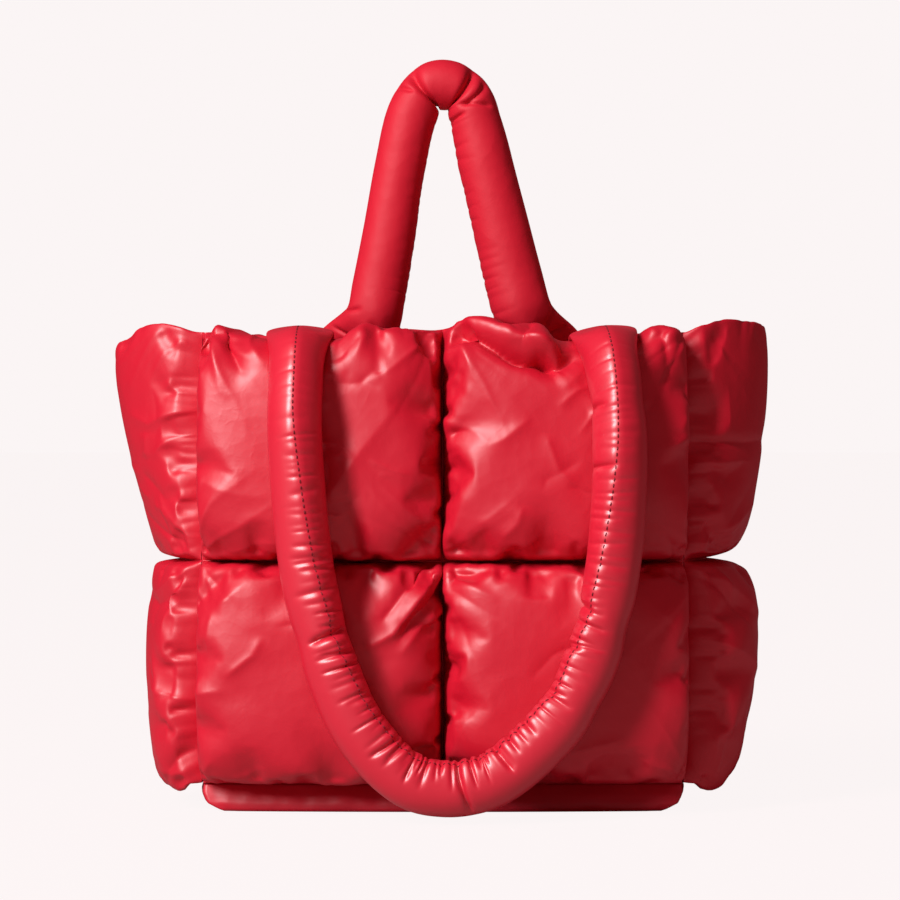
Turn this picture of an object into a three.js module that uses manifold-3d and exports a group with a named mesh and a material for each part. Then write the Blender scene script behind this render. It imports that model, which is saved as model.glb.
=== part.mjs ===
// A puffer tote bag, standing on its padded base.
// Millimetres, +Z up. The front faces -Y, and the origin is the middle of the base's underside.
//
// The wall is a ring of stuffed pillows sewn edge to edge: two columns and two rows on the front,
// the same on the rear, and one column of two on each side gusset. All pillows are drawn on one
// "seam net", the sheet that the stitching lies in, and swell outwards and inwards from it.
// Two stuffed tubular handles have flat ends sewn inside the rim. The front one is folded over the
// rim and hangs down the front, and the rear one stands up with two kinks at its top.

import * as THREE from "three";
import { mergeVertices } from "three/addons/utils/BufferGeometryUtils.js";
import Module from "manifold-3d";

const wasm = await Module();
wasm.setup();

// Sizes of the seam net.
const PANEL_WIDTH = 316; // front and rear panels, from side seam to side seam
const RIM_HEIGHT = 318; // floor to the rim seam
const ROW_SEAM_HEIGHT = 165; // floor to the seam between the two rows
const BASE_DEPTH = 124; // front seam to rear seam, at the base
const ROW_SEAM_DEPTH = 132; // the same, at the seam between the rows
const RIM_DEPTH = 112; // the same, at the rim
const PANEL_BOW = 6; // how far the middle of the front and rear bows out
const BASE_GUSSET_BOW = 4; // how far the middle of each side bows out, at the base
const ROW_SEAM_GUSSET_BOW = 20; // the same, at the seam between the rows
const RIM_GUSSET_BOW = 48; // the same, at the rim, where the sides stand out as wings
const LEFT_WING_DROP = 12; // how far the rim hangs down at the middle of the left side
const RIGHT_WING_DROP = 4; // the same, on the right side
const RIM_NOTCH = 5; // how far each upright seam pulls the rim down
const RIM_NOTCH_WIDTH = 24; // from the seam to where the rim is level again

// Sizes of the padding.
const PANEL_PUFF = 38; // how far a front or rear pillow swells out of the seam net
const GUSSET_PUFF = 31; // how far a lower side pillow swells out
const WING_PUFF = 22; // how far an upper side pillow, a wing, swells out
const LINING_PUFF = 11; // how far every pillow swells inwards
const SEAM_THICKNESS = 5; // the layers stitched together at a seam
const SEAM_GAP = 0.4; // left between two pillows that share a seam
const GATHER_PITCH = 34; // from one gather to the next, along a seam
const GATHER_DEPTH = 2.6; // how deep the gathers are
const GATHER_START = 0.45; // where they start to show, as a share of the way from middle to seam
const BASE_THICKNESS = 18; // the base pad
const BASE_BULGE = 4; // how far the base pad's side stands out of its seam
const BASE_TUCK = 12; // how far its flat underside stops short of its seam

// Sizes of the handles.
const HANDLE_DIAMETER = 35;
const HANDLE_SPACING = 206; // between the two legs of the hanging front handle
const REAR_HANDLE_RISE = 172; // the rim to the rear handle's centreline at its top
const REAR_LEG_SPACING = 107; // between the rear handle's legs where they leave the rim
const STRAP_WIDTH = 50; // a handle's flat, sewn end
const STRAP_THICKNESS = 8;
const FRONT_STRAP_LENGTH = 52; // how much of each end of the front handle is flat
const REAR_STRAP_LENGTH = 20; // the same, on the rear handle
const STRAP_SWELL = 48; // the stretch over which the flat end fills out to the round handle
const STRAP_DEPTH = 36; // how far below the rim a strap is sewn
const STRAP_PRESS = 1; // how far a strap presses into the lining that it is sewn to
const SEAT_GAP = 0.3; // kept between a handle and what it lies on
const STRAP_CLEARANCE = 20; // from a folded strap's edge to where the rim is level again
const SHOULDER_HEIGHT = 51; // how far below the rim the hanging handle is before it hangs plumb
const LEG_PUFF = 4.4; // how far the lining swells where the rear handle's legs rise out of the bag

// How finely the shapes are drawn.
const POINTS_PER_EDGE = 10;
const OUTER_RINGS = [1, 0.965, 0.88, 0.74, 0.52, 0.26];
const INNER_RINGS = [1, 0.66];
const HANDLE_STATIONS = 52;
const HANDLE_SIDES = 12;

// A pillow's swell, from its seam at 1 to its middle at 0. High flatness gives a flat crown, and high
// steepness a side that stands straight up from the seam.
const CROWN_FLATNESS = 2.9;
const SIDE_STEEPNESS = 2.1;

// The broad folds. A pillow's own square runs from -1 to 1 across and up, as seen from outside.
// depth is a share of the pillow's swell, and width is in units of the square.
const FOLDS = [
  { pillow: "front_upper_right", across: [-0.7, 0.45], up: [0.9, 0.66], width: 0.13, depth: 0.24 },
  { pillow: "front_upper_left", across: [-0.85, -0.55], up: [0.95, 0.45], width: 0.12, depth: 0.2 },
  { pillow: "front_upper_left", across: [0.2, 0.8], up: [0.75, 0.5], width: 0.14, depth: 0.12 },
  { pillow: "front_upper_right", across: [-0.95, -0.6], up: [-0.2, -0.85], width: 0.14, depth: 0.14 },
  { pillow: "front_lower_left", across: [0.9, 0.35], up: [0.95, 0.2], width: 0.15, depth: 0.16 },
  { pillow: "front_lower_left", across: [-0.95, -0.5], up: [0.2, 0.1], width: 0.12, depth: 0.1 },
  { pillow: "front_lower_right", across: [-0.95, -0.4], up: [0.85, 0.55], width: 0.13, depth: 0.12 },
  { pillow: "rear_upper_left", across: [-0.8, 0.3], up: [0.8, 0.6], width: 0.14, depth: 0.16 },
  { pillow: "rear_lower_right", across: [0.9, 0.3], up: [0.9, 0.3], width: 0.15, depth: 0.14 },
  { pillow: "left_upper", across: [0.95, 0.1], up: [0.35, 0.05], width: 0.15, depth: 0.2 },
  { pillow: "left_lower", across: [0.95, 0.2], up: [0.8, 0.6], width: 0.14, depth: 0.22 },
  { pillow: "right_upper", across: [-0.95, 0.2], up: [-0.1, -0.05], width: 0.14, depth: 0.22 },
  { pillow: "right_lower", across: [-0.9, 0.1], up: [0.1, -0.25], width: 0.14, depth: 0.16 },
];

// The hanging handle: a row for each bend. across is a share of HANDLE_SPACING from the bag's middle,
// up a share of the rim's height, and lie says what the handle lies on there.
const FRONT_HANDLE = [
  { across: -0.455, up: 1 - STRAP_DEPTH / RIM_HEIGHT, lie: "lining" },
  { across: -0.455, up: 0.955, lie: "lining" },
  { across: -0.455, up: 1, lie: "rim" },
  { across: -0.455, up: 0.955, lie: "pillow" },
  { across: -0.458, up: 0.87, lie: "pillow" },
  { across: -0.459, up: 0.8, lie: "pillow" },
  { across: -0.451, up: 0.7, lie: "pillow" },
  { across: -0.437, up: 0.59, lie: "pillow" },
  { across: -0.415, up: 0.485, lie: "pillow" },
  { across: -0.383, up: 0.395, lie: "pillow" },
  { across: -0.34, up: 0.3, lie: "pillow" },
  { across: -0.272, up: 0.2, lie: "pillow" },
  { across: -0.175, up: 0.12, lie: "pillow" },
  { across: -0.083, up: 0.077, lie: "pillow" },
  { across: 0, up: 0.0665, lie: "pillow" },
  { across: 0.078, up: 0.0695, lie: "pillow" },
  { across: 0.165, up: 0.088, lie: "pillow" },
  { across: 0.282, up: 0.146, lie: "pillow" },
  { across: 0.393, up: 0.23, lie: "pillow" },
  { across: 0.475, up: 0.35, lie: "pillow" },
  { across: 0.524, up: 0.49, lie: "pillow" },
  { across: 0.546, up: 0.64, lie: "pillow" },
  { across: 0.549, up: 0.77, lie: "pillow" },
  { across: 0.54, up: 0.865, lie: "pillow" },
  { across: 0.52, up: 0.955, lie: "pillow" },
  { across: 0.51, up: 1, lie: "rim" },
  { across: 0.51, up: 0.955, lie: "lining" },
  { across: 0.51, up: 1 - STRAP_DEPTH / RIM_HEIGHT, lie: "lining" },
];

// The standing handle. across is a share of REAR_LEG_SPACING from the bag's middle, and rise a share of
// REAR_HANDLE_RISE above the rim, below it where it is negative.
const REAR_HANDLE = [
  { across: -0.74, rise: -STRAP_DEPTH / REAR_HANDLE_RISE, lie: "lining" },
  { across: -0.66, rise: -0.1, lie: "lining" },
  { across: -0.475, rise: 0.07, lie: "air" },
  { across: -0.42, rise: 0.2, lie: "air" },
  { across: -0.35, rise: 0.42, lie: "air" },
  { across: -0.275, rise: 0.68, lie: "air" },
  { across: -0.2, rise: 0.88, lie: "air" },
  { across: -0.105, rise: 0.985, lie: "air" },
  { across: 0.02, rise: 1, lie: "air" },
  { across: 0.145, rise: 0.965, lie: "air" },
  { across: 0.215, rise: 0.84, lie: "air" },
  { across: 0.275, rise: 0.68, lie: "air" },
  { across: 0.38, rise: 0.43, lie: "air" },
  { across: 0.46, rise: 0.24, lie: "air" },
  { across: 0.535, rise: 0.08, lie: "air" },
  { across: 0.7, rise: -0.1, lie: "lining" },
  { across: 0.78, rise: -STRAP_DEPTH / REAR_HANDLE_RISE, lie: "lining" },
];

// Where a handle is kinked. at is a share of its length, squeeze how much narrower it gets there, and
// reach the length of the pinch as a share of the handle's diameter.
const FRONT_KINKS = [
  { at: 0.33, squeeze: 0.08, reach: 0.35 },
  { at: 0.62, squeeze: 0.08, reach: 0.35 },
  { at: 0.68, squeeze: 0.1, reach: 0.35 },
  { at: 0.85, squeeze: 0.07, reach: 0.35 },
];
const REAR_KINKS = [
  { at: 0.462, squeeze: 0.2, reach: 0.3 },
  { at: 0.545, squeeze: 0.2, reach: 0.3 },
];

const HALF_PANEL = PANEL_WIDTH / 2;
const HANDLE_RADIUS = HANDLE_DIAMETER / 2;

const SHELL_FINISH = { color: 0xc41e33, roughness: 0.38, metalness: 0 };
const HANDLE_FINISH = { color: 0xc9243a, roughness: 0.42, metalness: 0 };

const mix = THREE.MathUtils.lerp;
const ease = THREE.MathUtils.smoothstep;

// A value that follows the three seam levels: the base, the row seam and the rim.
function alongHeight(z, atBase, atRow, atRim) {
  if (z < ROW_SEAM_HEIGHT) {
    return mix(atBase, atRow, (z - BASE_THICKNESS) / (ROW_SEAM_HEIGHT - BASE_THICKNESS));
  }
  return mix(atRow, atRim, (z - ROW_SEAM_HEIGHT) / (RIM_HEIGHT - ROW_SEAM_HEIGHT));
}

function halfDepth(z) {
  return alongHeight(z, BASE_DEPTH, ROW_SEAM_DEPTH, RIM_DEPTH) / 2;
}

// A point of the seam net. u runs from 0 to 1 along a side, anticlockwise seen from above.
function netPoint(side, u, z) {
  const depth = halfDepth(z);
  const bowed = Math.sin(Math.PI * u);
  const panelY = depth + PANEL_BOW * bowed;
  const gussetBow = alongHeight(z, BASE_GUSSET_BOW, ROW_SEAM_GUSSET_BOW, RIM_GUSSET_BOW);
  const gussetX = HALF_PANEL + gussetBow * bowed;
  if (side === "front") {
    return new THREE.Vector3(mix(-HALF_PANEL, HALF_PANEL, u), -panelY, z);
  }
  if (side === "right") {
    return new THREE.Vector3(gussetX, mix(-depth, depth, u), z);
  }
  if (side === "rear") {
    return new THREE.Vector3(mix(HALF_PANEL, -HALF_PANEL, u), panelY, z);
  }
  return new THREE.Vector3(-gussetX, mix(depth, -depth, u), z);
}

// The way out of the bag at a point: away from a spine along its middle, so that two pillows that share
// an upright seam swell side by side and never into each other.
function outward(point) {
  const spineEnd = HALF_PANEL - halfDepth(point.z);
  const spine = new THREE.Vector3(THREE.MathUtils.clamp(point.x, -spineEnd, spineEnd), 0, point.z);
  return point.clone().sub(spine).normalize();
}

function swell(across, up) {
  const one = (t) => Math.max(0, 1 - Math.abs(t) ** CROWN_FLATNESS) ** (1 / SIDE_STEEPNESS);
  return one(across) * one(up);
}

// The ripples that the gathered seam sends into a pillow. They start at the seam and fade inwards.
function gathers(pillow, across, up) {
  const ring = Math.max(Math.abs(across), Math.abs(up));
  const along = Math.abs(across) > Math.abs(up) ? up : across;
  const edge = Math.abs(across) > Math.abs(up) ? pillow.height : pillow.width;
  const waves = Math.max(1, Math.round(edge / GATHER_PITCH));
  const strength = ease(ring, GATHER_START, 0.8) * ease(1 - ring, 0, 0.12);
  return -GATHER_DEPTH * strength * (0.5 + 0.5 * Math.cos(Math.PI * waves * along + pillow.phase));
}

// How deep the broad folds are at a place on a pillow.
function foldDepth(pillow, across, up) {
  let deepest = 0;
  for (const fold of FOLDS.filter((row) => row.pillow === pillow.name)) {
    const start = new THREE.Vector2(fold.across[0], fold.up[0]);
    const run = new THREE.Vector2(fold.across[1], fold.up[1]).sub(start);
    const place = new THREE.Vector2(across, up).sub(start);
    const share = THREE.MathUtils.clamp(place.dot(run) / run.lengthSq(), 0, 1);
    const away = place.distanceTo(run.multiplyScalar(share));
    const profile = Math.exp(-((away / fold.width) ** 2));
    deepest = Math.max(deepest, fold.depth * (1 - 0.5 * share) * profile);
  }
  return deepest;
}

// The rim's height along a side. It is notched at each upright seam, and hangs down between the front
// and rear panels. Each strap that is folded over it presses it down by its own thickness.
function rimHeight(side, u) {
  const isPanel = side === "front" || side === "rear";
  const columnWidth = isPanel ? PANEL_WIDTH / 2 : RIM_DEPTH;
  const columns = isPanel ? 2 : 1;
  const seamDistance = Math.abs(u * columns - Math.round(u * columns)) * columnWidth;
  const notched = RIM_HEIGHT - RIM_NOTCH * (1 - ease(seamDistance, 0, RIM_NOTCH_WIDTH));
  if (!isPanel) {
    return notched - (side === "left" ? LEFT_WING_DROP : RIGHT_WING_DROP) * Math.sin(Math.PI * u);
  }
  if (side === "rear") {
    return notched;
  }
  const x = mix(-HALF_PANEL, HALF_PANEL, u);
  const straps = FRONT_HANDLE.filter((row) => row.lie === "rim");
  const nearest = Math.min(...straps.map((row) => Math.abs(x - row.across * HANDLE_SPACING)));
  const strapEdge = STRAP_WIDTH / 2;
  return notched - STRAP_THICKNESS * (1 - ease(nearest, strapEdge, strapEdge + STRAP_CLEARANCE));
}

// A pillow's place on the seam net: where its square's (across, up) is, grown by the given length.
function pillowNet(pillow, across, up, grow) {
  const inset = SEAM_GAP / 2 - grow;
  const insetAcross = inset / pillow.width;
  const start = mix(pillow.u[0], pillow.u[1], insetAcross);
  const end = mix(pillow.u[1], pillow.u[0], insetAcross);
  const u = mix(start, end, (across + 1) / 2);
  const top = pillow.row === "upper" ? rimHeight(pillow.side, u) : ROW_SEAM_HEIGHT;
  const bottom = pillow.row === "upper" ? ROW_SEAM_HEIGHT : BASE_THICKNESS;
  return netPoint(pillow.side, u, mix(bottom + inset, top - inset, (up + 1) / 2));
}

function pillowOutside(pillow, across, up, grow = 0) {
  const swollen = swell(across, up) * pillow.puff * (1 - foldDepth(pillow, across, up));
  const lift = Math.max(0, swollen + gathers(pillow, across, up));
  const point = pillowNet(pillow, across, up, grow);
  return point.clone().addScaledVector(outward(point), SEAM_THICKNESS / 2 + grow + lift);
}

function pillowInside(pillow, across, up, grow = 0) {
  const point = pillowNet(pillow, across, up, grow);
  const depth = SEAM_THICKNESS / 2 + grow + LINING_PUFF * swell(across, up);
  return point.clone().addScaledVector(outward(point), -depth);
}

// Points round a square of half-size ring, anticlockwise from its lower left corner.
function squareRing(ring) {
  const corners = [[-1, -1], [1, -1], [1, 1], [-1, 1]];
  return corners.flatMap(([x, y], i) => {
    const [nextX, nextY] = corners[(i + 1) % corners.length];
    return Array.from({ length: POINTS_PER_EDGE }, (_, k) => {
      const share = k / POINTS_PER_EDGE;
      return [ring * mix(x, nextX, share), ring * mix(y, nextY, share)];
    });
  });
}

// A closed body through a row of rings with the same number of points, with a middle point closing
// each end. The rings run anticlockwise about the way from the first end to the last.
function lofted(rings, firstMiddle, lastMiddle) {
  const count = rings[0].length;
  const positions = [...rings.flat(), firstMiddle, lastMiddle].flatMap((point) => point.toArray());
  const first = rings.length * count;
  const last = first + 1;
  const faces = [];
  for (let k = 0; k < count; k += 1) {
    const next = (k + 1) % count;
    faces.push(first, next, k);
    for (let r = 0; r + 1 < rings.length; r += 1) {
      const low = r * count;
      const high = low + count;
      faces.push(low + k, low + next, high + next, low + k, high + next, high + k);
    }
    faces.push(last, (rings.length - 1) * count + k, (rings.length - 1) * count + next);
  }
  const geometry = new THREE.BufferGeometry();
  geometry.setAttribute("position", new THREE.Float32BufferAttribute(positions, 3));
  geometry.setIndex(faces);
  return geometry;
}

// From the lining's middle, over the seam, to the crown.
function pillowGeometry(pillow, grow = 0) {
  const inner = ([across, up]) => pillowInside(pillow, across, up, grow);
  const outer = ([across, up]) => pillowOutside(pillow, across, up, grow);
  const inside = INNER_RINGS.toReversed().map((ring) => squareRing(ring).map(inner));
  const outside = OUTER_RINGS.map((ring) => squareRing(ring).map(outer));
  return lofted([...inside, ...outside], inner([0, 0]), outer([0, 0]));
}

// The pillows: two columns on the front and rear, one on each side, and two rows of each.
function listPillows() {
  const panelPuff = { lower: PANEL_PUFF, upper: PANEL_PUFF };
  const gussetPuff = { lower: GUSSET_PUFF, upper: WING_PUFF };
  const sides = [
    { side: "front", columns: ["left", "right"], length: PANEL_WIDTH, puff: panelPuff },
    { side: "right", columns: [""], length: ROW_SEAM_DEPTH, puff: gussetPuff },
    { side: "rear", columns: ["left", "right"], length: PANEL_WIDTH, puff: panelPuff },
    { side: "left", columns: [""], length: ROW_SEAM_DEPTH, puff: gussetPuff },
  ];
  const rows = { lower: ROW_SEAM_HEIGHT - BASE_THICKNESS, upper: RIM_HEIGHT - ROW_SEAM_HEIGHT };
  return sides.flatMap(({ side, columns, length, puff }) =>
    columns.flatMap((column, i) =>
      Object.entries(rows).map(([row, height]) => ({
        name: [side, row, column].filter(Boolean).join("_"),
        side,
        row,
        puff: puff[row],
        height,
        width: length / columns.length,
        u: [i / columns.length, (i + 1) / columns.length],
        phase: i * 2 + (row === "upper" ? 1 : 0),
      })),
    ),
  );
}

// The base pad: a flat underside, a side that bulges a little, and a top that the wall is sewn to.
function baseGeometry() {
  const seamTop = BASE_THICKNESS - SEAM_GAP;
  const profile = [
    { z: 0, offset: -BASE_TUCK },
    { z: BASE_THICKNESS * 0.2, offset: BASE_BULGE * 0.4 },
    { z: BASE_THICKNESS * 0.5, offset: BASE_BULGE },
    { z: BASE_THICKNESS * 0.8, offset: SEAM_THICKNESS / 2 + 1 },
    { z: seamTop, offset: SEAM_THICKNESS / 2 },
    { z: seamTop, offset: -BASE_TUCK * 2 },
  ];
  const sides = [["front", 16], ["right", 8], ["rear", 16], ["left", 8]];
  const rings = profile.map(({ z, offset }) =>
    sides.flatMap(([side, count]) =>
      Array.from({ length: count }, (_, k) => {
        const point = netPoint(side, k / count, BASE_THICKNESS);
        return point.clone().addScaledVector(outward(point), offset).setZ(z);
      }),
    ),
  );
  return lofted(rings, new THREE.Vector3(0, 0, 0), new THREE.Vector3(0, 0, seamTop));
}

// The pillow of the front or rear panel at a place, and that place on the pillow's own square.
function onPanel(pillows, side, x, z) {
  const u = (side === "front" ? x : -x) / PANEL_WIDTH + 0.5;
  const row = z < ROW_SEAM_HEIGHT ? "lower" : "upper";
  const pillow = pillows.find((p) => p.side === side && p.row === row && u >= p.u[0] && u <= p.u[1]);
  const across = ((u - pillow.u[0]) / (pillow.u[1] - pillow.u[0])) * 2 - 1;
  const bottom = row === "lower" ? BASE_THICKNESS : ROW_SEAM_HEIGHT;
  const top = row === "lower" ? ROW_SEAM_HEIGHT : rimHeight(side, u);
  return { pillow, across, up: THREE.MathUtils.clamp(((z - bottom) / (top - bottom)) * 2 - 1, -1, 1) };
}

// A handle's flat end lies on the lining, pressed in a little, so that it is sewn there all over.
function onLining(pillows, side, x, z) {
  const { pillow, across, up } = onPanel(pillows, side, x, z);
  const inward = side === "front" ? 1 : -1;
  const lining = pillowInside(pillow, across, up).y;
  return new THREE.Vector3(x, lining + inward * (STRAP_THICKNESS / 2 - STRAP_PRESS), z);
}

// The plane that the hanging handle's centreline lies in, and how it curves back to the rim.
function onPillows(x, z) {
  const furthest = Math.max(halfDepth(ROW_SEAM_HEIGHT), halfDepth(BASE_THICKNESS)) + PANEL_BOW;
  const hang = furthest + SEAM_THICKNESS / 2 + PANEL_PUFF + HANDLE_RADIUS + SEAT_GAP;
  const belowRim = THREE.MathUtils.clamp((RIM_HEIGHT - z) / SHOULDER_HEIGHT, 0, 1);
  const shoulder = Math.sqrt(1 - (1 - belowRim) ** 2);
  return new THREE.Vector3(x, -mix(halfDepth(RIM_HEIGHT) + PANEL_BOW, hang, shoulder), z);
}

function frontHandlePoint(pillows, row) {
  const x = row.across * HANDLE_SPACING;
  const z = row.up * RIM_HEIGHT;
  if (row.lie === "lining") {
    return onLining(pillows, "front", x, z);
  }
  if (row.lie === "rim") {
    const seam = netPoint("front", x / PANEL_WIDTH + 0.5, RIM_HEIGHT);
    return seam.setZ(RIM_HEIGHT - STRAP_THICKNESS / 2 + STRAP_PRESS);
  }
  return onPillows(x, z);
}

function rearHandlePoint(pillows, row) {
  const x = row.across * REAR_LEG_SPACING;
  const z = RIM_HEIGHT + row.rise * REAR_HANDLE_RISE;
  if (row.lie === "lining") {
    return onLining(pillows, "rear", x, z);
  }
  const lining = halfDepth(RIM_HEIGHT) - SEAM_THICKNESS / 2 - LEG_PUFF;
  return new THREE.Vector3(x, lining - HANDLE_RADIUS, z);
}

// How narrow the kinks leave a handle at a share of its length.
function kinked(kinks, share, length) {
  return kinks.reduce((size, kink) => {
    const away = Math.abs(share - kink.at) * length / (kink.reach * HANDLE_DIAMETER);
    return size * (1 - kink.squeeze * Math.exp(-(away ** 2)));
  }, 1);
}

// A stuffed tube along the given points, flat for a strap's length at both ends. Its width direction
// starts along X and is carried along the route without twisting.
function handleGeometry(points, kinks, strapLength) {
  const route = new THREE.CatmullRomCurve3(points, false, "centripetal");
  const length = route.getLength();
  const width = new THREE.Vector3(1, 0, 0);
  const rings = Array.from({ length: HANDLE_STATIONS }, (_, i) => {
    const share = i / (HANDLE_STATIONS - 1);
    const centre = route.getPointAt(share);
    const along = route.getTangentAt(share);
    width.addScaledVector(along, -width.dot(along)).normalize();
    const thick = along.clone().cross(width);
    const fromEnd = Math.min(share, 1 - share) * length;
    const fill = ease(fromEnd, strapLength, strapLength + STRAP_SWELL);
    const halfWidth = (mix(STRAP_WIDTH, HANDLE_DIAMETER, fill) / 2) * kinked(kinks, share, length);
    const halfThick = mix(STRAP_THICKNESS, HANDLE_DIAMETER, fill) / 2;
    return Array.from({ length: HANDLE_SIDES }, (_, k) => {
      const turn = (k / HANDLE_SIDES) * Math.PI * 2;
      return centre
        .clone()
        .addScaledVector(width, Math.cos(turn) * halfWidth)
        .addScaledVector(thick, Math.sin(turn) * halfThick);
    });
  });
  return lofted(rings, points[0].clone(), points.at(-1).clone());
}

function toSolid(geometry) {
  const bare = new THREE.BufferGeometry();
  bare.setAttribute("position", geometry.getAttribute("position"));
  bare.setIndex(geometry.index);
  const merged = mergeVertices(bare, 1e-4);
  return new wasm.Manifold(
    new wasm.Mesh({
      numProp: 3,
      vertProperties: merged.attributes.position.array,
      triVerts: new Uint32Array(merged.index.array),
    }),
  );
}

function toGeometry(solid) {
  const mesh = solid.getMesh();
  const geometry = new THREE.BufferGeometry();
  geometry.setAttribute("position", new THREE.Float32BufferAttribute(mesh.vertProperties, mesh.numProp));
  geometry.setIndex(Array.from(mesh.triVerts));
  return geometry;
}

// A handle gives way to the pillows that it lies on, and keeps a hair's gap to them.
function seated(geometry, pillows) {
  const cutters = pillows.map((pillow) => toSolid(pillowGeometry(pillow, SEAT_GAP)));
  return toGeometry(cutters.reduce((solid, cutter) => solid.subtract(cutter), toSolid(geometry)));
}

function addPiece(group, name, geometry, finish) {
  geometry.computeVertexNormals();
  const mesh = new THREE.Mesh(geometry, new THREE.MeshStandardMaterial(finish));
  mesh.name = name;
  group.add(mesh);
}

function buildBag() {
  const bag = new THREE.Group();
  const pillows = listPillows();
  for (const pillow of pillows) {
    addPiece(bag, `${pillow.name}_pillow`, pillowGeometry(pillow), SHELL_FINISH);
  }
  addPiece(bag, "base_pad", baseGeometry(), SHELL_FINISH);

  const frontPoints = FRONT_HANDLE.map((row) => frontHandlePoint(pillows, row));
  const frontPillows = pillows.filter((pillow) => pillow.side === "front");
  const frontTube = handleGeometry(frontPoints, FRONT_KINKS, FRONT_STRAP_LENGTH);
  addPiece(bag, "front_handle", seated(frontTube, frontPillows), HANDLE_FINISH);

  const rearPoints = REAR_HANDLE.map((row) => rearHandlePoint(pillows, row));
  const rearPillows = pillows.filter((pillow) => pillow.side === "rear");
  const rearTube = handleGeometry(rearPoints, REAR_KINKS, REAR_STRAP_LENGTH);
  addPiece(bag, "rear_handle", seated(rearTube, rearPillows), HANDLE_FINISH);
  return bag;
}

export default buildBag();
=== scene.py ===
# %% [markdown]
# # A puffer tote bag, dressed from its CAD frame
# The bag is a ring of stuffed pillows sewn edge to edge, a padded base, and two stuffed tube handles.
# The CAD part fixes every size. This script keeps those sizes and gives each piece its folds, its
# gathers, its stitches and its glossy coated cloth. All lengths are in metres and +Z is up.

import math

import bpy
import numpy as np
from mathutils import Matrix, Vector


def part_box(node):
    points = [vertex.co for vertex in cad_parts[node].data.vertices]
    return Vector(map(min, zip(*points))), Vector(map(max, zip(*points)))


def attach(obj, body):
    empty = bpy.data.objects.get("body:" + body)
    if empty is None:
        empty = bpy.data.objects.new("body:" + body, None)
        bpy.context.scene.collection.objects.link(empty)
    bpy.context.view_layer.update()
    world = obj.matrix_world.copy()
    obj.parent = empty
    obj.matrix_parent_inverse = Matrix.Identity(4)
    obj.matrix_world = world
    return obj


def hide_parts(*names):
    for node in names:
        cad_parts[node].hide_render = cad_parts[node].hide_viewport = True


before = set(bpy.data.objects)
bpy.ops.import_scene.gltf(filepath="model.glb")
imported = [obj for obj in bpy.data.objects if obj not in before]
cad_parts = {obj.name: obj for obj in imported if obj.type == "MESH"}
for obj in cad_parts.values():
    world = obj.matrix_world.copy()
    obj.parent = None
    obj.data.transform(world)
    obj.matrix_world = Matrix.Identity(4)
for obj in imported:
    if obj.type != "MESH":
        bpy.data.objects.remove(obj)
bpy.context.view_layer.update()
MM = 0.001

# %% [markdown]
# ## Camera
# The photograph was taken level with the upper pillows, from about two metres. A long lens at the same
# distance gives the same perspective, so that the side pillows show just as much of themselves.

# %% Camera
CAMERA_DISTANCE = 2.1
CAMERA_HEIGHT = 0.238
CAMERA_SIDESTEP = 0.0048
FRAME_WIDTH_AT_BAG = 0.612
SENSOR_WIDTH = 36

camera_data = bpy.data.cameras.new("camera")
camera_data.sensor_width = SENSOR_WIDTH
camera_data.lens = SENSOR_WIDTH * CAMERA_DISTANCE / FRAME_WIDTH_AT_BAG
camera = bpy.data.objects.new("camera", camera_data)
camera.location = (CAMERA_SIDESTEP, -CAMERA_DISTANCE, CAMERA_HEIGHT)
camera.rotation_euler = (math.pi / 2, 0, 0)
bpy.context.scene.collection.objects.link(camera)
bpy.context.scene.camera = camera
print("lens, mm:", round(camera_data.lens, 1))

# %% [markdown]
# ## Nodes and colours
# A material is a small graph of nodes. One function adds a node, sets its values and joins its inputs,
# so that each material below reads as a list of what is in it. Colours are written the way a screen
# shows them and turned to the linear values that the renderer wants.


# %% Helpers for materials
def linear(hex_colour):
    """An sRGB colour such as "#c8102e" as linear red, green, blue and alpha."""
    shares = [int(hex_colour[i : i + 2], 16) / 255 for i in (1, 3, 5)]
    curved = [s / 12.92 if s <= 0.04045 else ((s + 0.055) / 1.055) ** 2.4 for s in shares]
    return (*curved, 1)


def add_node(tree, kind, values=None, links=None, **settings):
    """Adds a node, with settings on the node, values on its inputs and links into its inputs."""
    node = tree.nodes.new(kind)
    for name, value in settings.items():
        setattr(node, name, value)
    for name, value in (values or {}).items():
        node.inputs[name].default_value = value
    for name, source in (links or {}).items():
        tree.links.new(source, node.inputs[name])
    return node


def new_material(name):
    material = bpy.data.materials.new(name)
    material.use_nodes = True
    material.node_tree.nodes.clear()
    return material, material.node_tree


# %% [markdown]
# ## Studio
# One tall narrow soft box at the upper left gives the long highlights and the firm shadow beside the
# hanging handle. The rest is a dim pink fill, which keeps the cloth red in its own shade. The floor and
# the backdrop behind it share one pale colour, so the bag seems to stand on nothing but its own soft
# shadow.

# %% Studio
BACKDROP_COLOUR = "#fbf5f5"
KEY_AZIMUTH = math.radians(40)
KEY_ELEVATION = math.radians(32)
KEY_DISTANCE = 4
KEY_WIDTH = 0.6
KEY_HEIGHT = 2.4
KEY_POWER = 211
FILL_COLOUR = "#f08a92"
FILL_STRENGTH = 0.23
FLOOR_COLOUR = "#b09093"
FLOOR_GLOW = 0.94  # the share of the glow in what the camera sees of the floor
GLOW_STRENGTH = 1.05
FLOOR_SIZE = 600
FLOOR_DROP = 0.5 * MM


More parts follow.
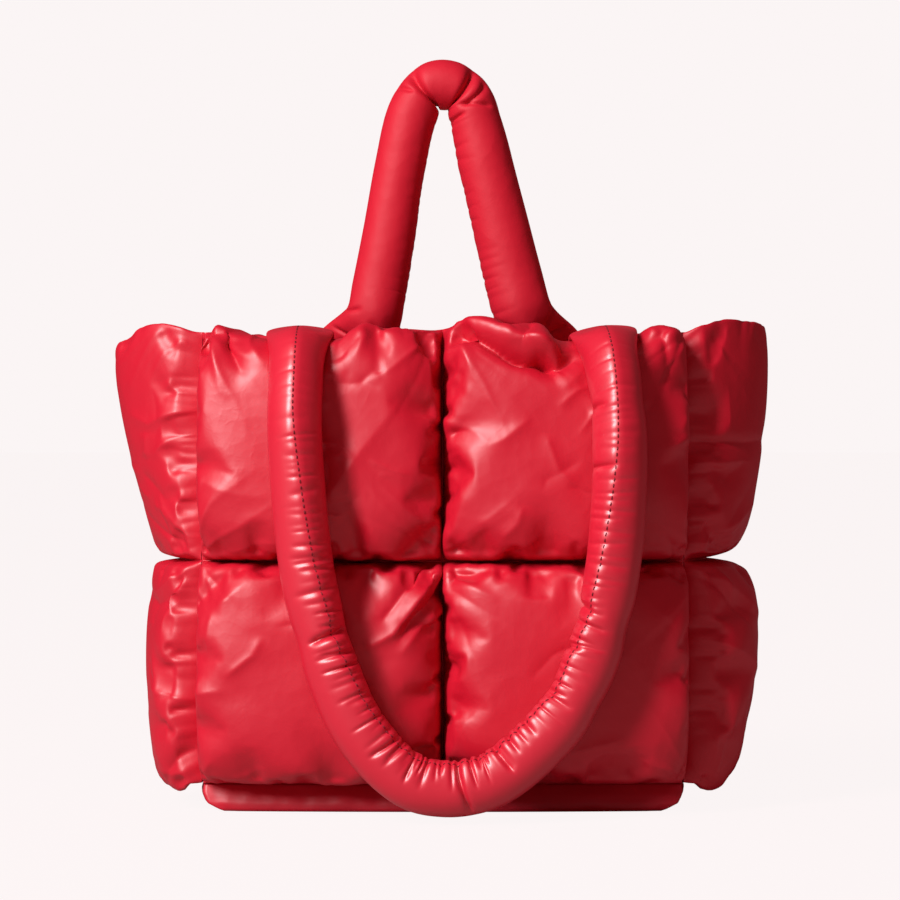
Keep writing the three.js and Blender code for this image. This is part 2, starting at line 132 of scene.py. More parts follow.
def add_soft_box(name, azimuth, elevation, width, height, power):
    """A lit rectangle to the left of the camera's line and above the floor, turned to the bag."""
    lamp_data = bpy.data.lights.new(name, "AREA")
    lamp_data.shape = "RECTANGLE"
    lamp_data.size = width
    lamp_data.size_y = height
    lamp_data.energy = power
    lamp = bpy.data.objects.new(name, lamp_data)
    level = math.cos(elevation)
    shine = Vector((level * math.sin(azimuth), level * math.cos(azimuth), -math.sin(elevation)))
    lamp.location = Vector((0, 0, CAMERA_HEIGHT)) - KEY_DISTANCE * shine
    lamp.rotation_euler = shine.to_track_quat("-Z", "Y").to_euler()
    bpy.context.scene.collection.objects.link(lamp)


def backdrop_world():
    world = bpy.data.worlds.new("pale_room")
    world.use_nodes = True
    tree = world.node_tree
    tree.nodes.clear()
    ray = add_node(tree, "ShaderNodeLightPath")
    seen = add_node(tree, "ShaderNodeBackground", {"Color": linear(BACKDROP_COLOUR), "Strength": 1})
    fill = {"Color": linear(FILL_COLOUR), "Strength": FILL_STRENGTH}
    light = add_node(tree, "ShaderNodeBackground", fill)
    mixed = add_node(
        tree,
        "ShaderNodeMixShader",
        links={0: ray.outputs["Is Camera Ray"], 1: light.outputs[0], 2: seen.outputs[0]},
    )
    add_node(tree, "ShaderNodeOutputWorld", links={"Surface": mixed.outputs[0]})
    bpy.context.scene.world = world


def painted_floor():
    """Matt paint that seems to glow, so that it is as pale as the backdrop and still takes a shadow."""
    material, tree = new_material("painted_floor")
    ray = add_node(tree, "ShaderNodeLightPath")
    paint = add_node(tree, "ShaderNodeBsdfDiffuse", {"Color": linear(FLOOR_COLOUR)})
    pale = {"Color": linear(BACKDROP_COLOUR), "Strength": GLOW_STRENGTH}
    glow = add_node(tree, "ShaderNodeEmission", pale)
    seen = {0: ray.outputs["Is Camera Ray"]}
    share = add_node(tree, "ShaderNodeMath", {1: FLOOR_GLOW}, seen, operation="MULTIPLY")
    mixed = add_node(
        tree,
        "ShaderNodeMixShader",
        links={0: share.outputs[0], 1: paint.outputs[0], 2: glow.outputs[0]},
    )
    add_node(tree, "ShaderNodeOutputMaterial", links={"Surface": mixed.outputs[0]})
    return material


backdrop_world()
add_soft_box("key_box", KEY_AZIMUTH, KEY_ELEVATION, KEY_WIDTH, KEY_HEIGHT, KEY_POWER)
bpy.context.scene.view_settings.view_transform = "Standard"

bpy.ops.mesh.primitive_plane_add(size=FLOOR_SIZE, location=(0, 0, -FLOOR_DROP))
floor = bpy.context.active_object
floor.name = "floor"
floor.data.materials.append(painted_floor())
print("studio: 1 soft box, 1 floor")

# %% [markdown]
# ## The coated cloth
# The bag is nylon taffeta with a thin polyurethane coat, laid on by a knife and pressed smooth. The coat
# gives a satin gloss: highlights are broad and a little pink, and the red goes deep where it turns away.
# Stuffed cloth of this kind is covered in shallow crumples, from about 20 mm down to 3 mm across. The
# folds and most crumples are in the mesh. The smallest are bumps in the material: Voronoi cells give the
# little flats that crumpled cloth breaks into, and ridged noise gives fine creases. The creases come in
# patches, as the cloth is smoother where the stuffing stretches it. A last fine noise is the weave.

# %% Coated nylon
CRUMPLE_SIZE = 16 * MM
PATCH_SIZE = CRUMPLE_SIZE / 0.35
CREASE_SIZE = 7 * MM
GRAIN_SIZE = 0.9 * MM  # the weave is about 0.1 mm, drawn coarser so that it shows
GRAIN_DEPTH = 0.01 * MM


def add_bump(tree, depth, height, under=None):
    """A bump of so many metres, laid over the bump under it."""
    links = {"Height": height}
    if under:
        links["Normal"] = under.outputs["Normal"]
    return add_node(tree, "ShaderNodeBump", {"Strength": 1.0, "Distance": depth}, links)


def coated_nylon(name, colour, roughness, gloss, crumple_depth, crease_depth):
    """Nylon with a pressed polyurethane coat: satin gloss over shallow crumples and fine creases."""
    material, tree = new_material(name)
    place = {"Vector": add_node(tree, "ShaderNodeTexCoord").outputs["Object"]}
    patches = add_node(tree, "ShaderNodeTexNoise", {"Scale": 1 / PATCH_SIZE, "Detail": 1.0}, place)
    crumple = add_node(
        tree,
        "ShaderNodeTexVoronoi",
        {"Scale": 1 / CRUMPLE_SIZE, "Detail": 1.0, "Roughness": 0.4, "Randomness": 1.0},
        place,
    )
    crease = add_node(
        tree,
        "ShaderNodeTexNoise",
        {"Scale": 1 / CREASE_SIZE, "Detail": 1.5, "Distortion": 1.2},
        place,
        noise_type="RIDGED_MULTIFRACTAL",
    )
    grain = add_node(tree, "ShaderNodeTexNoise", {"Scale": 1 / GRAIN_SIZE, "Detail": 0.0}, place)
    where = add_node(
        tree,
        "ShaderNodeMapRange",
        {"From Min": 0.45, "From Max": 0.7, "To Min": 0.15, "To Max": 1.0},
        {"Value": patches.outputs["Fac"]},
    )
    factors = {0: crease.outputs["Fac"], 1: where.outputs["Result"]}
    patchy = add_node(tree, "ShaderNodeMath", links=factors, operation="MULTIPLY")
    crumpled = add_bump(tree, crumple_depth, crumple.outputs["Distance"])
    creased = add_bump(tree, crease_depth, patchy.outputs[0], crumpled)
    grained = add_bump(tree, GRAIN_DEPTH, grain.outputs["Fac"], creased)
    cloth = add_node(
        tree,
        "ShaderNodeBsdfPrincipled",
        {"Base Color": linear(colour), "Roughness": roughness, "IOR": 1.5, "Specular IOR Level": gloss},
        {"Normal": grained.outputs["Normal"]},
    )
    add_node(tree, "ShaderNodeOutputMaterial", links={"Surface": cloth.outputs[0]})
    return material


shell_cloth = coated_nylon("coated_nylon_shell", "#c80b29", 0.46, 0.7, 0.3 * MM, 0.1 * MM)
# The handle's red is lighter and pinker than the shell's. This is partly its own cloth and partly a painted
# highlight spread over the whole tube.
handle_cloth = coated_nylon("coated_nylon_handle", "#d11832", 0.4, 1.0, 0.15 * MM, 0.05 * MM)
worn_cloth = coated_nylon("coated_nylon_worn_dull", "#ca122b", 0.62, 0.4, 0.4 * MM, 0.12 * MM)
print("materials:", shell_cloth.name, handle_cloth.name, worn_cloth.name)

# %% [markdown]
# ## The seam net
# All the stitching lies in one thin sheet, the seam net: the front, right, rear and left of the bag,
# one after the other. A place on a side is u, from 0 to 1 anticlockwise as seen from above, and a
# height z. Everything soft swells out of this net, so two pillows that share a seam meet exactly.

# %% Seam net
lower_low, lower_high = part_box("front_lower_left_pillow")
upper_low, upper_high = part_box("front_upper_left_pillow")
BASE_TOP = lower_low.z
ROW_SEAM = (lower_high.z + upper_low.z) / 2
RIM = upper_high.z
HALF_PANEL = 158 * MM
BASE_DEPTH = 124 * MM
ROW_SEAM_DEPTH = 132 * MM
RIM_DEPTH = 112 * MM
PANEL_BOW = 6 * MM
BASE_GUSSET_BOW = 4 * MM
ROW_SEAM_GUSSET_BOW = 20 * MM
RIM_GUSSET_BOW = 48 * MM


def along_height(z, at_base, at_row, at_rim):
    """A value that follows the three seam levels: the base, the row seam and the rim."""
    below = at_base + (at_row - at_base) * (z - BASE_TOP) / (ROW_SEAM - BASE_TOP)
    above = at_row + (at_rim - at_row) * (z - ROW_SEAM) / (RIM - ROW_SEAM)
    return np.where(z < ROW_SEAM, below, above)


def half_depth(z):
    return along_height(z, BASE_DEPTH, ROW_SEAM_DEPTH, RIM_DEPTH) / 2


def gusset_bow(z):
    return along_height(z, BASE_GUSSET_BOW, ROW_SEAM_GUSSET_BOW, RIM_GUSSET_BOW)


def net_point(side, u, z):
    depth = half_depth(z)
    bowed = np.sin(np.pi * u)
    panel_y = depth + PANEL_BOW * bowed
    gusset_x = HALF_PANEL + gusset_bow(z) * bowed
    run_x = HALF_PANEL * (2 * u - 1)
    run_y = depth * (2 * u - 1)
    places = {
        "front": (run_x, -panel_y),
        "right": (gusset_x, run_y),
        "rear": (-run_x, panel_y),
        "left": (-gusset_x, -run_y),
    }
    x, y = places[side]
    return np.stack(np.broadcast_arrays(x, y, z), -1)


def outward(points):
    """The way out of the bag: away from a spine along its middle."""
    spine_end = HALF_PANEL - half_depth(points[..., 2])
    spine_x = np.clip(points[..., 0], -spine_end, spine_end)
    away = np.stack([points[..., 0] - spine_x, points[..., 1], 0 * spine_x], -1)
    return away / np.linalg.norm(away, axis=-1, keepdims=True)


print("rim", round(RIM / MM), "mm, row seam", round(ROW_SEAM / MM), "mm")

# %% [markdown]
# ## The list of pillows
# Two columns of two pillows make the front, the same again the rear, and one column closes each side.
# Each pillow has a square of its own, from -1 to 1 across and up as seen from outside, and folds and
# gathers are placed on that square.

# %% Pillow list
SIDES = ("front", "right", "rear", "left")
PANELS = ("front", "rear")
PANEL_COLUMNS = ("left", "right")
PANEL_PUFF = 38 * MM
GUSSET_PUFF = 31 * MM
WING_PUFF = 22 * MM
LINING_PUFF = 11 * MM
LEFT_WING_DROP = 10 * MM
RIGHT_WING_DROP = 3 * MM
RIM_NOTCH = 2 * MM
RIM_NOTCH_WIDTH = 24 * MM
# Where spare cloth stands up along the front rim: place across, half width and height in mm.
RIM_BUMPS = [(20, 20, 5), (136, 11, 7), (-122, 14, 2), (-60, 20, 2)]
WING_PEAK = 0.5 * MM
WING_PEAK_WIDTH = 15 * MM
STRAP_WIDTH = 50 * MM
STRAP_THICKNESS = 8 * MM
HANDLE_SPACING = 206 * MM
FRONT_STRAPS = (-0.455 * HANDLE_SPACING, 0.51 * HANDLE_SPACING)


def ease(value, low, high):
    """Rises smoothly from 0 at low to 1 at high."""
    t = np.clip((value - low) / (high - low), 0, 1)
    return t * t * (3 - 2 * t)


def rim_height(side, u):
    """The rim is notched at the upright seams, hangs down on the sides and is pressed by the straps."""
    is_panel = side in PANELS
    columns = len(PANEL_COLUMNS) if is_panel else 1
    column_width = HALF_PANEL if is_panel else RIM_DEPTH
    seam_distance = np.abs(u * columns - np.round(u * columns)) * column_width
    height = RIM - RIM_NOTCH * (1 - ease(seam_distance, 0, RIM_NOTCH_WIDTH))
    if not is_panel:
        drop = LEFT_WING_DROP if side == "left" else RIGHT_WING_DROP
        from_front = (1 - u if side == "left" else u) * RIM_DEPTH
        peak = WING_PEAK * np.exp(-((from_front / WING_PEAK_WIDTH - 1) ** 2))
        return height - drop * np.sin(np.pi * u) ** 2 + peak
    if side == "front":
        x = HALF_PANEL * (2 * u - 1)
        nearest = np.min([np.abs(x - strap) for strap in FRONT_STRAPS], axis=0)
        height = height - STRAP_THICKNESS * (1 - ease(nearest, STRAP_WIDTH / 2, STRAP_WIDTH * 0.9))
        for middle, half_width, lift in RIM_BUMPS:
            height = height + lift * MM * np.exp(-(((x / MM - middle) / half_width) ** 2))
    return height


def list_pillows():
    """Every pillow with its place on the net, its size and how far it would puff out by itself."""
    heights = {"lower": ROW_SEAM - BASE_TOP, "upper": RIM - ROW_SEAM}
    gusset_puffs = {"lower": GUSSET_PUFF, "upper": WING_PUFF}
    pillows = []
    for side in SIDES:
        is_panel = side in PANELS
        names = PANEL_COLUMNS if is_panel else [""]
        width = HALF_PANEL if is_panel else ROW_SEAM_DEPTH
        for column, column_name in enumerate(names):
            for row in heights:
                pillow = {"name": "_".join(part for part in (side, row, column_name) if part)}
                pillow.update(side=side, row=row, puff=PANEL_PUFF if is_panel else gusset_puffs[row])
                pillow.update(start=column / len(names), end=(column + 1) / len(names))
                pillow["half_size"] = np.array([width, heights[row]]) / 2
                pillows.append(pillow)
    return pillows


def on_net(pillow, across, up):
    """Where a place on a pillow's square lies on the seam net."""
    u = pillow["start"] + (pillow["end"] - pillow["start"]) * (across + 1) / 2
    upper = pillow["row"] == "upper"
    top = rim_height(pillow["side"], u) if upper else ROW_SEAM
    bottom = ROW_SEAM if upper else BASE_TOP
    return net_point(pillow["side"], u, bottom + (top - bottom) * (up + 1) / 2)


pillows = list_pillows()
print(len(pillows), "pillows")

# %% [markdown]
# ## Blowing up the pillows
# A real pillow is cut larger than the seam that holds it, and the stuffing pushes the spare cloth into
# soft folds. Blender's cloth solver does just that. Each pillow starts as a slightly lumpy bulge, its
# seam and its lining are pinned, the cloth is told to be larger than it was drawn, and air pressure
# fills it. A coarse grid makes broad folds as thick coated cloth has, and it is quick. The lumps come
# from a seeded generator, so each run gives the same bag.

# %% Blow up
CLOTH_COUNT = 34
CLOTH_FRAMES = 30
CLOTH_SPARE = 0.035
CLOTH_PRESSURE = 4
CLOTH_MASS = 0.3
CLOTH_TENSION = 30
CLOTH_BENDING = 10
CLOTH_DAMPING = 3
START_SWELL = 0.75
LUMP_HEIGHT = 0.6 * MM
CROWN_FLATNESS = 2.9
SIDE_STEEPNESS = 2.1


def square(count):
    """The places of a pillow's square, as two grids: across and up."""
    line = np.linspace(-1, 1, count)
    up, across = np.meshgrid(line, line, indexing="ij")
    return across, up


def swell(across, up):
    """How full a pillow is, from 0 at its seam to 1 at its middle."""
    across_share = np.clip(1 - np.abs(across) ** CROWN_FLATNESS, 0, 1)
    up_share = np.clip(1 - np.abs(up) ** CROWN_FLATNESS, 0, 1)
    return (across_share * up_share) ** (1 / SIDE_STEEPNESS)


def lumps(across, up, random):
    """A few long random waves that tell the cloth where to start to fold."""
    total = 0 * across
    for waves_across in (1, 2, 3.3):
        for waves_up in (1, 2, 3.3):
            shift_across, shift_up = random.uniform(0, 2, 2)
            wave = np.sin(np.pi * (waves_across * across + shift_across))
            total += random.normal() * wave * np.sin(np.pi * (waves_up * up + shift_up))
    return total


def start_shape(pillow, random):
    """Outer and inner layer of a pillow before it is blown up."""
    across, up = square(CLOTH_COUNT)
    seam = on_net(pillow, across, up)
    out = outward(seam)
    full = swell(across, up)[..., None]
    bumps = LUMP_HEIGHT * lumps(across, up, random)[..., None]
    outer = seam + out * full * (START_SWELL * pillow["puff"] + bumps)
    inner = seam - out * full * LINING_PUFF
    return outer, inner


def grid_faces(index):
    """The quads between the points of a grid, given the points' numbers."""
    return np.stack([index[:-1, :-1], index[:-1, 1:], index[1:, 1:], index[1:, :-1]], -1).reshape(-1, 4)


def wrap(index):
    """The same point numbers with the first column again at the end, so that the faces close a ring."""
    return np.concatenate([index, index[:, :1]], axis=1)


def blow_up(shapes):
    """Runs the cloth solver on all pillows at once and returns their new outer and inner layers."""
    count = CLOTH_COUNT
    layer = np.arange(count * count).reshape(count, count)
    border = np.ones((count, count), bool)
    border[1:-1, 1:-1] = False
    inner_index = layer.copy()
    inner_index[~border] = count * count + np.arange((~border).sum())
    size = count * count + (~border).sum()
    faces = np.concatenate([grid_faces(layer), grid_faces(inner_index)[:, ::-1]])
    pinned = np.concatenate([border.ravel(), np.ones((~border).sum(), bool)])

    points = np.concatenate([np.concatenate([o.reshape(-1, 3), i[~border]]) for o, i in shapes])
    all_faces = np.concatenate([faces + size * k for k in range(len(shapes))])
    mesh = bpy.data.meshes.new("cloth")
    mesh.from_pydata(points.tolist(), [], all_faces.tolist())
    cloth = bpy.data.objects.new("cloth", mesh)
    bpy.context.scene.collection.objects.link(cloth)
    group = cloth.vertex_groups.new(name="sewn")
    group.add(np.nonzero(np.tile(pinned, len(shapes)))[0].tolist(), 1.0, "REPLACE")

    modifier = cloth.modifiers.new("cloth", "CLOTH")
    settings = modifier.settings
    settings.mass = CLOTH_MASS
    settings.tension_stiffness = CLOTH_TENSION
    settings.compression_stiffness = CLOTH_TENSION
    settings.shear_stiffness = CLOTH_TENSION / 2
    settings.bending_stiffness = CLOTH_BENDING
    settings.air_damping = CLOTH_DAMPING
    settings.vertex_group_mass = group.name
    settings.use_pressure = True
    settings.uniform_pressure_force = CLOTH_PRESSURE
    settings.shrink_min = -CLOTH_SPARE
    settings.effector_weights.gravity = 0
    modifier.collision_settings.use_collision = False
    modifier.point_cache.frame_end = CLOTH_FRAMES
    for frame_number in range(1, CLOTH_FRAMES + 1):
        bpy.context.scene.frame_set(frame_number)

    evaluated = cloth.evaluated_get(bpy.context.evaluated_depsgraph_get())
    result = np.empty(len(points) * 3, np.float32)
    evaluated.data.vertices.foreach_get("co", result)
    result = result.reshape(len(shapes), size, 3).astype(float)
    bpy.data.objects.remove(cloth)
    bpy.context.scene.frame_set(1)
    return [(r[layer], r[inner_index]) for r in result]


random = np.random.default_rng(7)
shapes = [start_shape(pillow, random) for pillow in pillows]
shapes = blow_up(shapes)
print("blown up:", len(shapes), "pillows of", CLOTH_COUNT, "by", CLOTH_COUNT, "points")

# %% [markdown]
# ## Handle routes
# A handle is a stuffed tube with flat ends sewn inside the rim. Its middle line is a short list of
# given places, with a smooth curve through them. The front handle goes over the rim and hangs
# in a long U on the pillows. The rear handle stands up and is bent twice at its top, as a stuffed tube
# does when it is too stiff to curve.

# %% Handle routes
HANDLE_RADIUS = 17.5 * MM
STRAP_DEPTH = 36 * MM
STRAP_PRESS = 1 * MM
SEAM_THICKNESS = 5 * MM
SEAT_GAP = 0.3 * MM
REAR_HANDLE_RISE = 172 * MM
REAR_LEG_SPACING = 107 * MM
FRONT_STATIONS = 1150
REAR_STATIONS = 620
SPAN_POINTS = 40

STRAP_UP = 1 - STRAP_DEPTH / RIM
STRAP_RISE = -STRAP_DEPTH / REAR_HANDLE_RISE
# Each row: across as a share of the leg spacing, up as a share of the rim's height, what it lies on.
FRONT_ROUTE = [
    (-0.455, STRAP_UP, "lining"),
    (-0.455, 0.955, "lining"),
    (-0.455, 1, "rim"),
    (-0.455, 0.955, "pillow"),
    (-0.458, 0.87, "pillow"),
    (-0.459, 0.8, "pillow"),
    (-0.451, 0.7, "pillow"),
    (-0.437, 0.59, "pillow"),
    (-0.415, 0.485, "pillow"),
    (-0.383, 0.395, "pillow"),
    (-0.34, 0.3, "pillow"),
    (-0.272, 0.2, "pillow"),
    (-0.175, 0.12, "pillow"),
    (-0.083, 0.077, "pillow"),
    (0, 0.0665, "pillow"),
    (0.078, 0.0695, "pillow"),
    (0.165, 0.088, "pillow"),
    (0.282, 0.146, "pillow"),
    (0.393, 0.23, "pillow"),
    (0.475, 0.35, "pillow"),
    (0.524, 0.49, "pillow"),
    (0.546, 0.64, "pillow"),
    (0.549, 0.77, "pillow"),
    (0.54, 0.865, "pillow"),
    (0.52, 0.955, "pillow"),
    (0.51, 1, "rim"),
    (0.51, 0.955, "lining"),
    (0.51, STRAP_UP, "lining"),
]
# The same for the rear handle, with its rise above the rim as a share of its full rise.
REAR_ROUTE = [
    (-0.74, STRAP_RISE, "lining"),
    (-0.63, -0.1, "lining"),
    (-0.465, 0.07, "air"),
    (-0.42, 0.2, "air"),
    (-0.35, 0.42, "air"),
    (-0.275, 0.68, "air"),
    (-0.2, 0.88, "air"),
    (-0.105, 0.985, "air"),
    (0.02, 1, "air"),
    (0.145, 0.965, "air"),
    (0.215, 0.84, "air"),
    (0.275, 0.68, "air"),
    (0.38, 0.43, "air"),
    (0.46, 0.24, "air"),
    (0.535, 0.08, "air"),
    (0.7, -0.1, "lining"),
    (0.78, STRAP_RISE, "lining"),
]


def lining_y(x, z):
    """How far the lining of the front or rear is from the middle of the bag."""
    u = x / HALF_PANEL / 2 + 0.5
    across = (u * 2 - (u >= 0.5)) * 2 - 1
    up = np.clip((z - ROW_SEAM) / (RIM - ROW_SEAM) * 2 - 1, -1, 1)
    net = half_depth(z) + PANEL_BOW * np.sin(np.pi * u)
    return net - SEAM_THICKNESS / 2 - LINING_PUFF * swell(across, up)


def strap_y(x, z):
    """The middle of a strap that is sewn to the lining."""
    return lining_y(x, z) - (STRAP_THICKNESS / 2 - STRAP_PRESS)


def front_handle_point(across, up, lie):
    x = across * HANDLE_SPACING
    z = up * RIM
    if lie == "lining":
        return (x, -strap_y(x, z), z)
    rim_y = half_depth(RIM) + PANEL_BOW
    if lie == "rim":
        return (x, -rim_y, RIM - STRAP_THICKNESS / 2 + STRAP_PRESS)
    crown = ROW_SEAM_DEPTH / 2 + PANEL_BOW + SEAM_THICKNESS / 2 + PANEL_PUFF
    hang = crown + HANDLE_RADIUS + SEAT_GAP
    below_rim = np.clip((RIM - z) / (PANEL_PUFF * 2.2), 0, 1)
    shoulder = math.sqrt(1 - (1 - below_rim) ** 2)
    return (x, -(rim_y + (hang - rim_y) * shoulder), z)


def rear_handle_point(across, rise, lie):
    x = across * REAR_LEG_SPACING
    z = RIM + rise * REAR_HANDLE_RISE
    if lie == "lining":
        return (x, strap_y(x, z), z)
    return (x, RIM_DEPTH / 2 - SEAM_THICKNESS / 2 - LINING_PUFF * 0.4 - HANDLE_RADIUS, z)


def distances_along(points):
    return np.concatenate([[0], np.cumsum(np.linalg.norm(np.diff(points, axis=0), axis=1))])


def read_off(values, travelled, wanted):
    """The rows of values, such as points of a curve, at the wanted distances along it."""
    return np.stack([np.interp(wanted, travelled, values[:, k]) for k in range(3)], -1)


def smooth_route(points, count):
    """Evenly spaced points on a centripetal Catmull-Rom curve, and the curve's length."""
    points = np.array(points, float)
    ends = [2 * points[0] - points[1]], [2 * points[-1] - points[-2]]
    padded = np.concatenate([ends[0], points, ends[1]])
    steps = np.sqrt(np.linalg.norm(np.diff(padded, axis=0), axis=1))
    curve = []
    t = np.linspace(0, 1, SPAN_POINTS, endpoint=False)[:, None]
    for k in range(len(points) - 1):
        p0, p1, p2, p3 = padded[k : k + 4]
        d0, d1, d2 = steps[k : k + 3]
        slope1 = ((p1 - p0) / d0 - (p2 - p0) / (d0 + d1) + (p2 - p1) / d1) * d1
        slope2 = ((p2 - p1) / d1 - (p3 - p1) / (d1 + d2) + (p3 - p2) / d2) * d1
        curve.append(
            (2 * t**3 - 3 * t**2 + 1) * p1
            + (t**3 - 2 * t**2 + t) * slope1
            + (-2 * t**3 + 3 * t**2) * p2
            + (t**3 - t**2) * slope2
        )
    curve = np.concatenate([*curve, points[-1:]])
    travelled = distances_along(curve)
    return read_off(curve, travelled, np.linspace(0, travelled[-1], count)), travelled[-1]


front_middle, front_length = smooth_route([front_handle_point(*row) for row in FRONT_ROUTE], FRONT_STATIONS)
rear_middle, rear_length = smooth_route([rear_handle_point(*row) for row in REAR_ROUTE], REAR_STATIONS)
print("handle lengths, mm:", round(front_length / MM), round(rear_length / MM))

# %% [markdown]
# ## Folds and gathers
# The solver gives a pillow its general unevenness. The folds that anyone would notice are put in one
# by one, as a sculptor would press them in: each is a line on the pillow's square that lifts or sinks the
# cloth beside it, and that dies away along its length. Along every seam the cloth is also gathered into
# many short pleats, whose places come from the seeded generator.

# %% Fold table
# For each pillow, rows of: places (across, up) on its square, width in mm, lift in mm (below 0 for a
# valley).
FOLDS = {
    "front_upper_left": [
        ([(-0.81, 1.0), (-0.76, 0.8), (-0.69, 0.61), (-0.64, 0.44)], 4, 4.5),
        ([(-0.56, 0.98), (-0.5, 0.84), (-0.42, 0.72)], 4, 5),
        ([(-0.68, 0.88), (-0.62, 0.76), (-0.54, 0.64)], 4.5, -14),
        ([(-0.9, 0.9), (-0.82, 0.74), (-0.8, 0.6)], 4, -6),
        ([(-0.95, -0.66), (-0.88, -0.88)], 4, -8),
        ([(-0.9, -0.25), (-0.66, -0.36), (-0.4, -0.4)], 7, 2.5),
        ([(0.08, 0.88), (0.24, 0.92), (0.36, 0.84), (0.29, 0.7)], 4, 3),
        ([(0.06, 0.59), (0.24, 0.5), (0.44, 0.44)], 2.5, -1.5),
        ([(0.08, -0.38), (0.4, 0.04), (0.69, 0.42)], 12, 3),
        ([(0.73, 1.0), (0.85, 0.84), (0.91, 0.55)], 6, -5),
    ],
    "front_upper_right": [
        ([(-0.16, 0.64), (-0.3, 0.65), (-0.5, 0.7), (-0.7, 0.78)], 4.5, -17),
        ([(-0.85, 0.84), (-0.6, 0.74), (-0.4, 0.67), (-0.25, 0.64)], 4.5, -14),
        ([(-0.16, 0.64), (-0.04, 0.7), (0.06, 0.8)], 4.5, -16),
        ([(-0.15, 0.76), (-0.42, 0.79), (-0.75, 0.89)], 8, 15),
        ([(-0.95, 0.7), (-0.78, 0.42)], 8, 2.5),
        ([(-0.95, 0.2), (-0.74, 0.08), (-0.57, -0.05)], 7, 3),
        ([(-0.95, -0.25), (-0.78, -0.47)], 6, 2.5),
        ([(-0.97, -0.85), (-0.86, -0.7), (-0.8, -0.5)], 5, 3.5),
        ([(0.65, 0.95), (0.73, 0.84), (0.86, 0.88)], 5, 5),
        ([(0.7, 0.85), (0.71, 0.6)], 4, -5),
        ([(0.69, 0.0), (0.81, 0.05), (0.95, 0.0)], 5, 3),
    ],
    "front_lower_left": [
        ([(0.98, 0.94), (0.77, 0.67), (0.57, 0.37), (0.42, 0.28)], 4, 7),
        ([(0.9, 0.99), (0.66, 0.72), (0.5, 0.5)], 5, -8),
        ([(1.0, 0.6), (0.81, 0.45), (0.65, 0.23)], 4, 5),
        ([(1.0, 0.77), (0.8, 0.56), (0.62, 0.33)], 4, -7),
        ([(-0.98, -0.1), (-0.78, -0.15), (-0.64, -0.13)], 3.5, 2.5),
        ([(-0.95, 0.02), (-0.75, 0.0)], 4, -2),
        ([(-0.9, 0.95), (-0.74, 0.68), (-0.66, 0.62)], 5, 3),
        ([(-0.62, 0.63), (-0.5, 0.77)], 4, 2),
    ],
    "front_lower_right": [
        ([(-0.98, 0.92), (-0.78, 0.76), (-0.57, 0.67)], 4.5, 3.5),
        ([(-0.98, 0.8), (-0.88, 0.62)], 4, 3),
        ([(-0.78, 0.92), (-0.45, 0.78)], 4, 2.5),
        ([(0.6, 0.5), (0.8, 0.72), (0.98, 0.8)], 10, 3),
    ],
    "right_upper": [
        ([(-0.98, 0.04), (-0.5, 0.02), (-0.1, 0.06)], 4, -5),
        ([(-0.98, -0.15), (-0.45, -0.12)], 4, 3),
        ([(-0.8, -0.75), (-0.2, -0.5)], 5, 3),
    ],
    "left_lower": [
        ([(0.85, 0.66), (0.5, 0.58), (0.05, 0.68)], 8, -6),
        ([(0.98, -0.24), (0.6, -0.16)], 4, 3),
        ([(0.98, -0.68), (0.6, -0.85)], 5, -5),
    ],
    "right_lower": [
        ([(-0.95, 0.9), (-0.3, 0.5)], 5, 3),
        ([(-0.98, 0.3), (-0.3, 0.0)], 5, 3),
    ],
    "left_upper": [
        ([(0.98, 0.3), (0.6, 0.2), (0.4, 0.3)], 4, 3),
        ([(0.98, 0.1), (0.65, -0.05)], 4, 3),
    ],
}

# %% Folds and gathers
FOLD_POWER = 1.25
FOLD_FADE = 0.75
GATHER_PITCH = 8 * MM
GATHER_WIDTH = 1.7 * MM
GATHER_POWER = 1.3
GATHER_SLANT = 0.45
# How close gathers come to the corners, and the ranges of their lengths and depths, all in mm.
GATHER_MARGIN = 4
GATHER_LENGTHS = (9, 30)
GATHER_DEPTHS = (0.8, 3.2)


def ridge(away, width, power):
    """1 on a line and dying away on both sides of it. The lower the power, the sharper the crest."""
    return np.exp(-((away / width) ** power))


def line_distance(x, y, line):
    """Distance to a line through places, and how far along it, from 0 to 1, the nearest place is."""
    best = np.full(x.shape, np.inf)
    share = np.zeros(x.shape)
    starts = np.array(line[:-1])
    runs = np.diff(np.array(line), axis=0)
    lengths = np.linalg.norm(runs, axis=1)
    for k, (start, run, length) in enumerate(zip(starts, runs, lengths)):
        t = np.clip(((x - start[0]) * run[0] + (y - start[1]) * run[1]) / length**2, 0, 1)
        away = np.hypot(x - start[0] - t * run[0], y - start[1] - t * run[1])
        nearer = away < best
        best = np.where(nearer, away, best)
        share = np.where(nearer, (lengths[:k].sum() + t * length) / lengths.sum(), share)
    return best, share


def fold_lift(pillow, x, y):
    """How far the folds of the table lift the cloth, at places in metres from the pillow's middle."""
    total = 0 * x
    for places, width, lift in FOLDS.get(pillow["name"], []):
        away, share = line_distance(x, y, np.array(places) * pillow["half_size"])
        profile = ridge(away, width * MM, FOLD_POWER)
        total += lift * MM * profile * (1 - FOLD_FADE * share) * ease(share, -0.2, 0.1)
    return total


def gather_strengths(pillow):
    """How strongly each edge is gathered, in the order left, right, bottom, top."""
    if pillow["side"] not in PANELS:
        return (0.6, 0.6, 0.5, 0.6) if pillow["row"] == "upper" else (0.35, 0.35, 0.3, 0.4)
    outer_left = pillow["start"] == 0
    rows = (0.3, 0.4) if pillow["row"] == "lower" else (0.3, 0.7)
    return (0.4, 0.4, *rows) if outer_left else (0.5, 0.3, *rows)


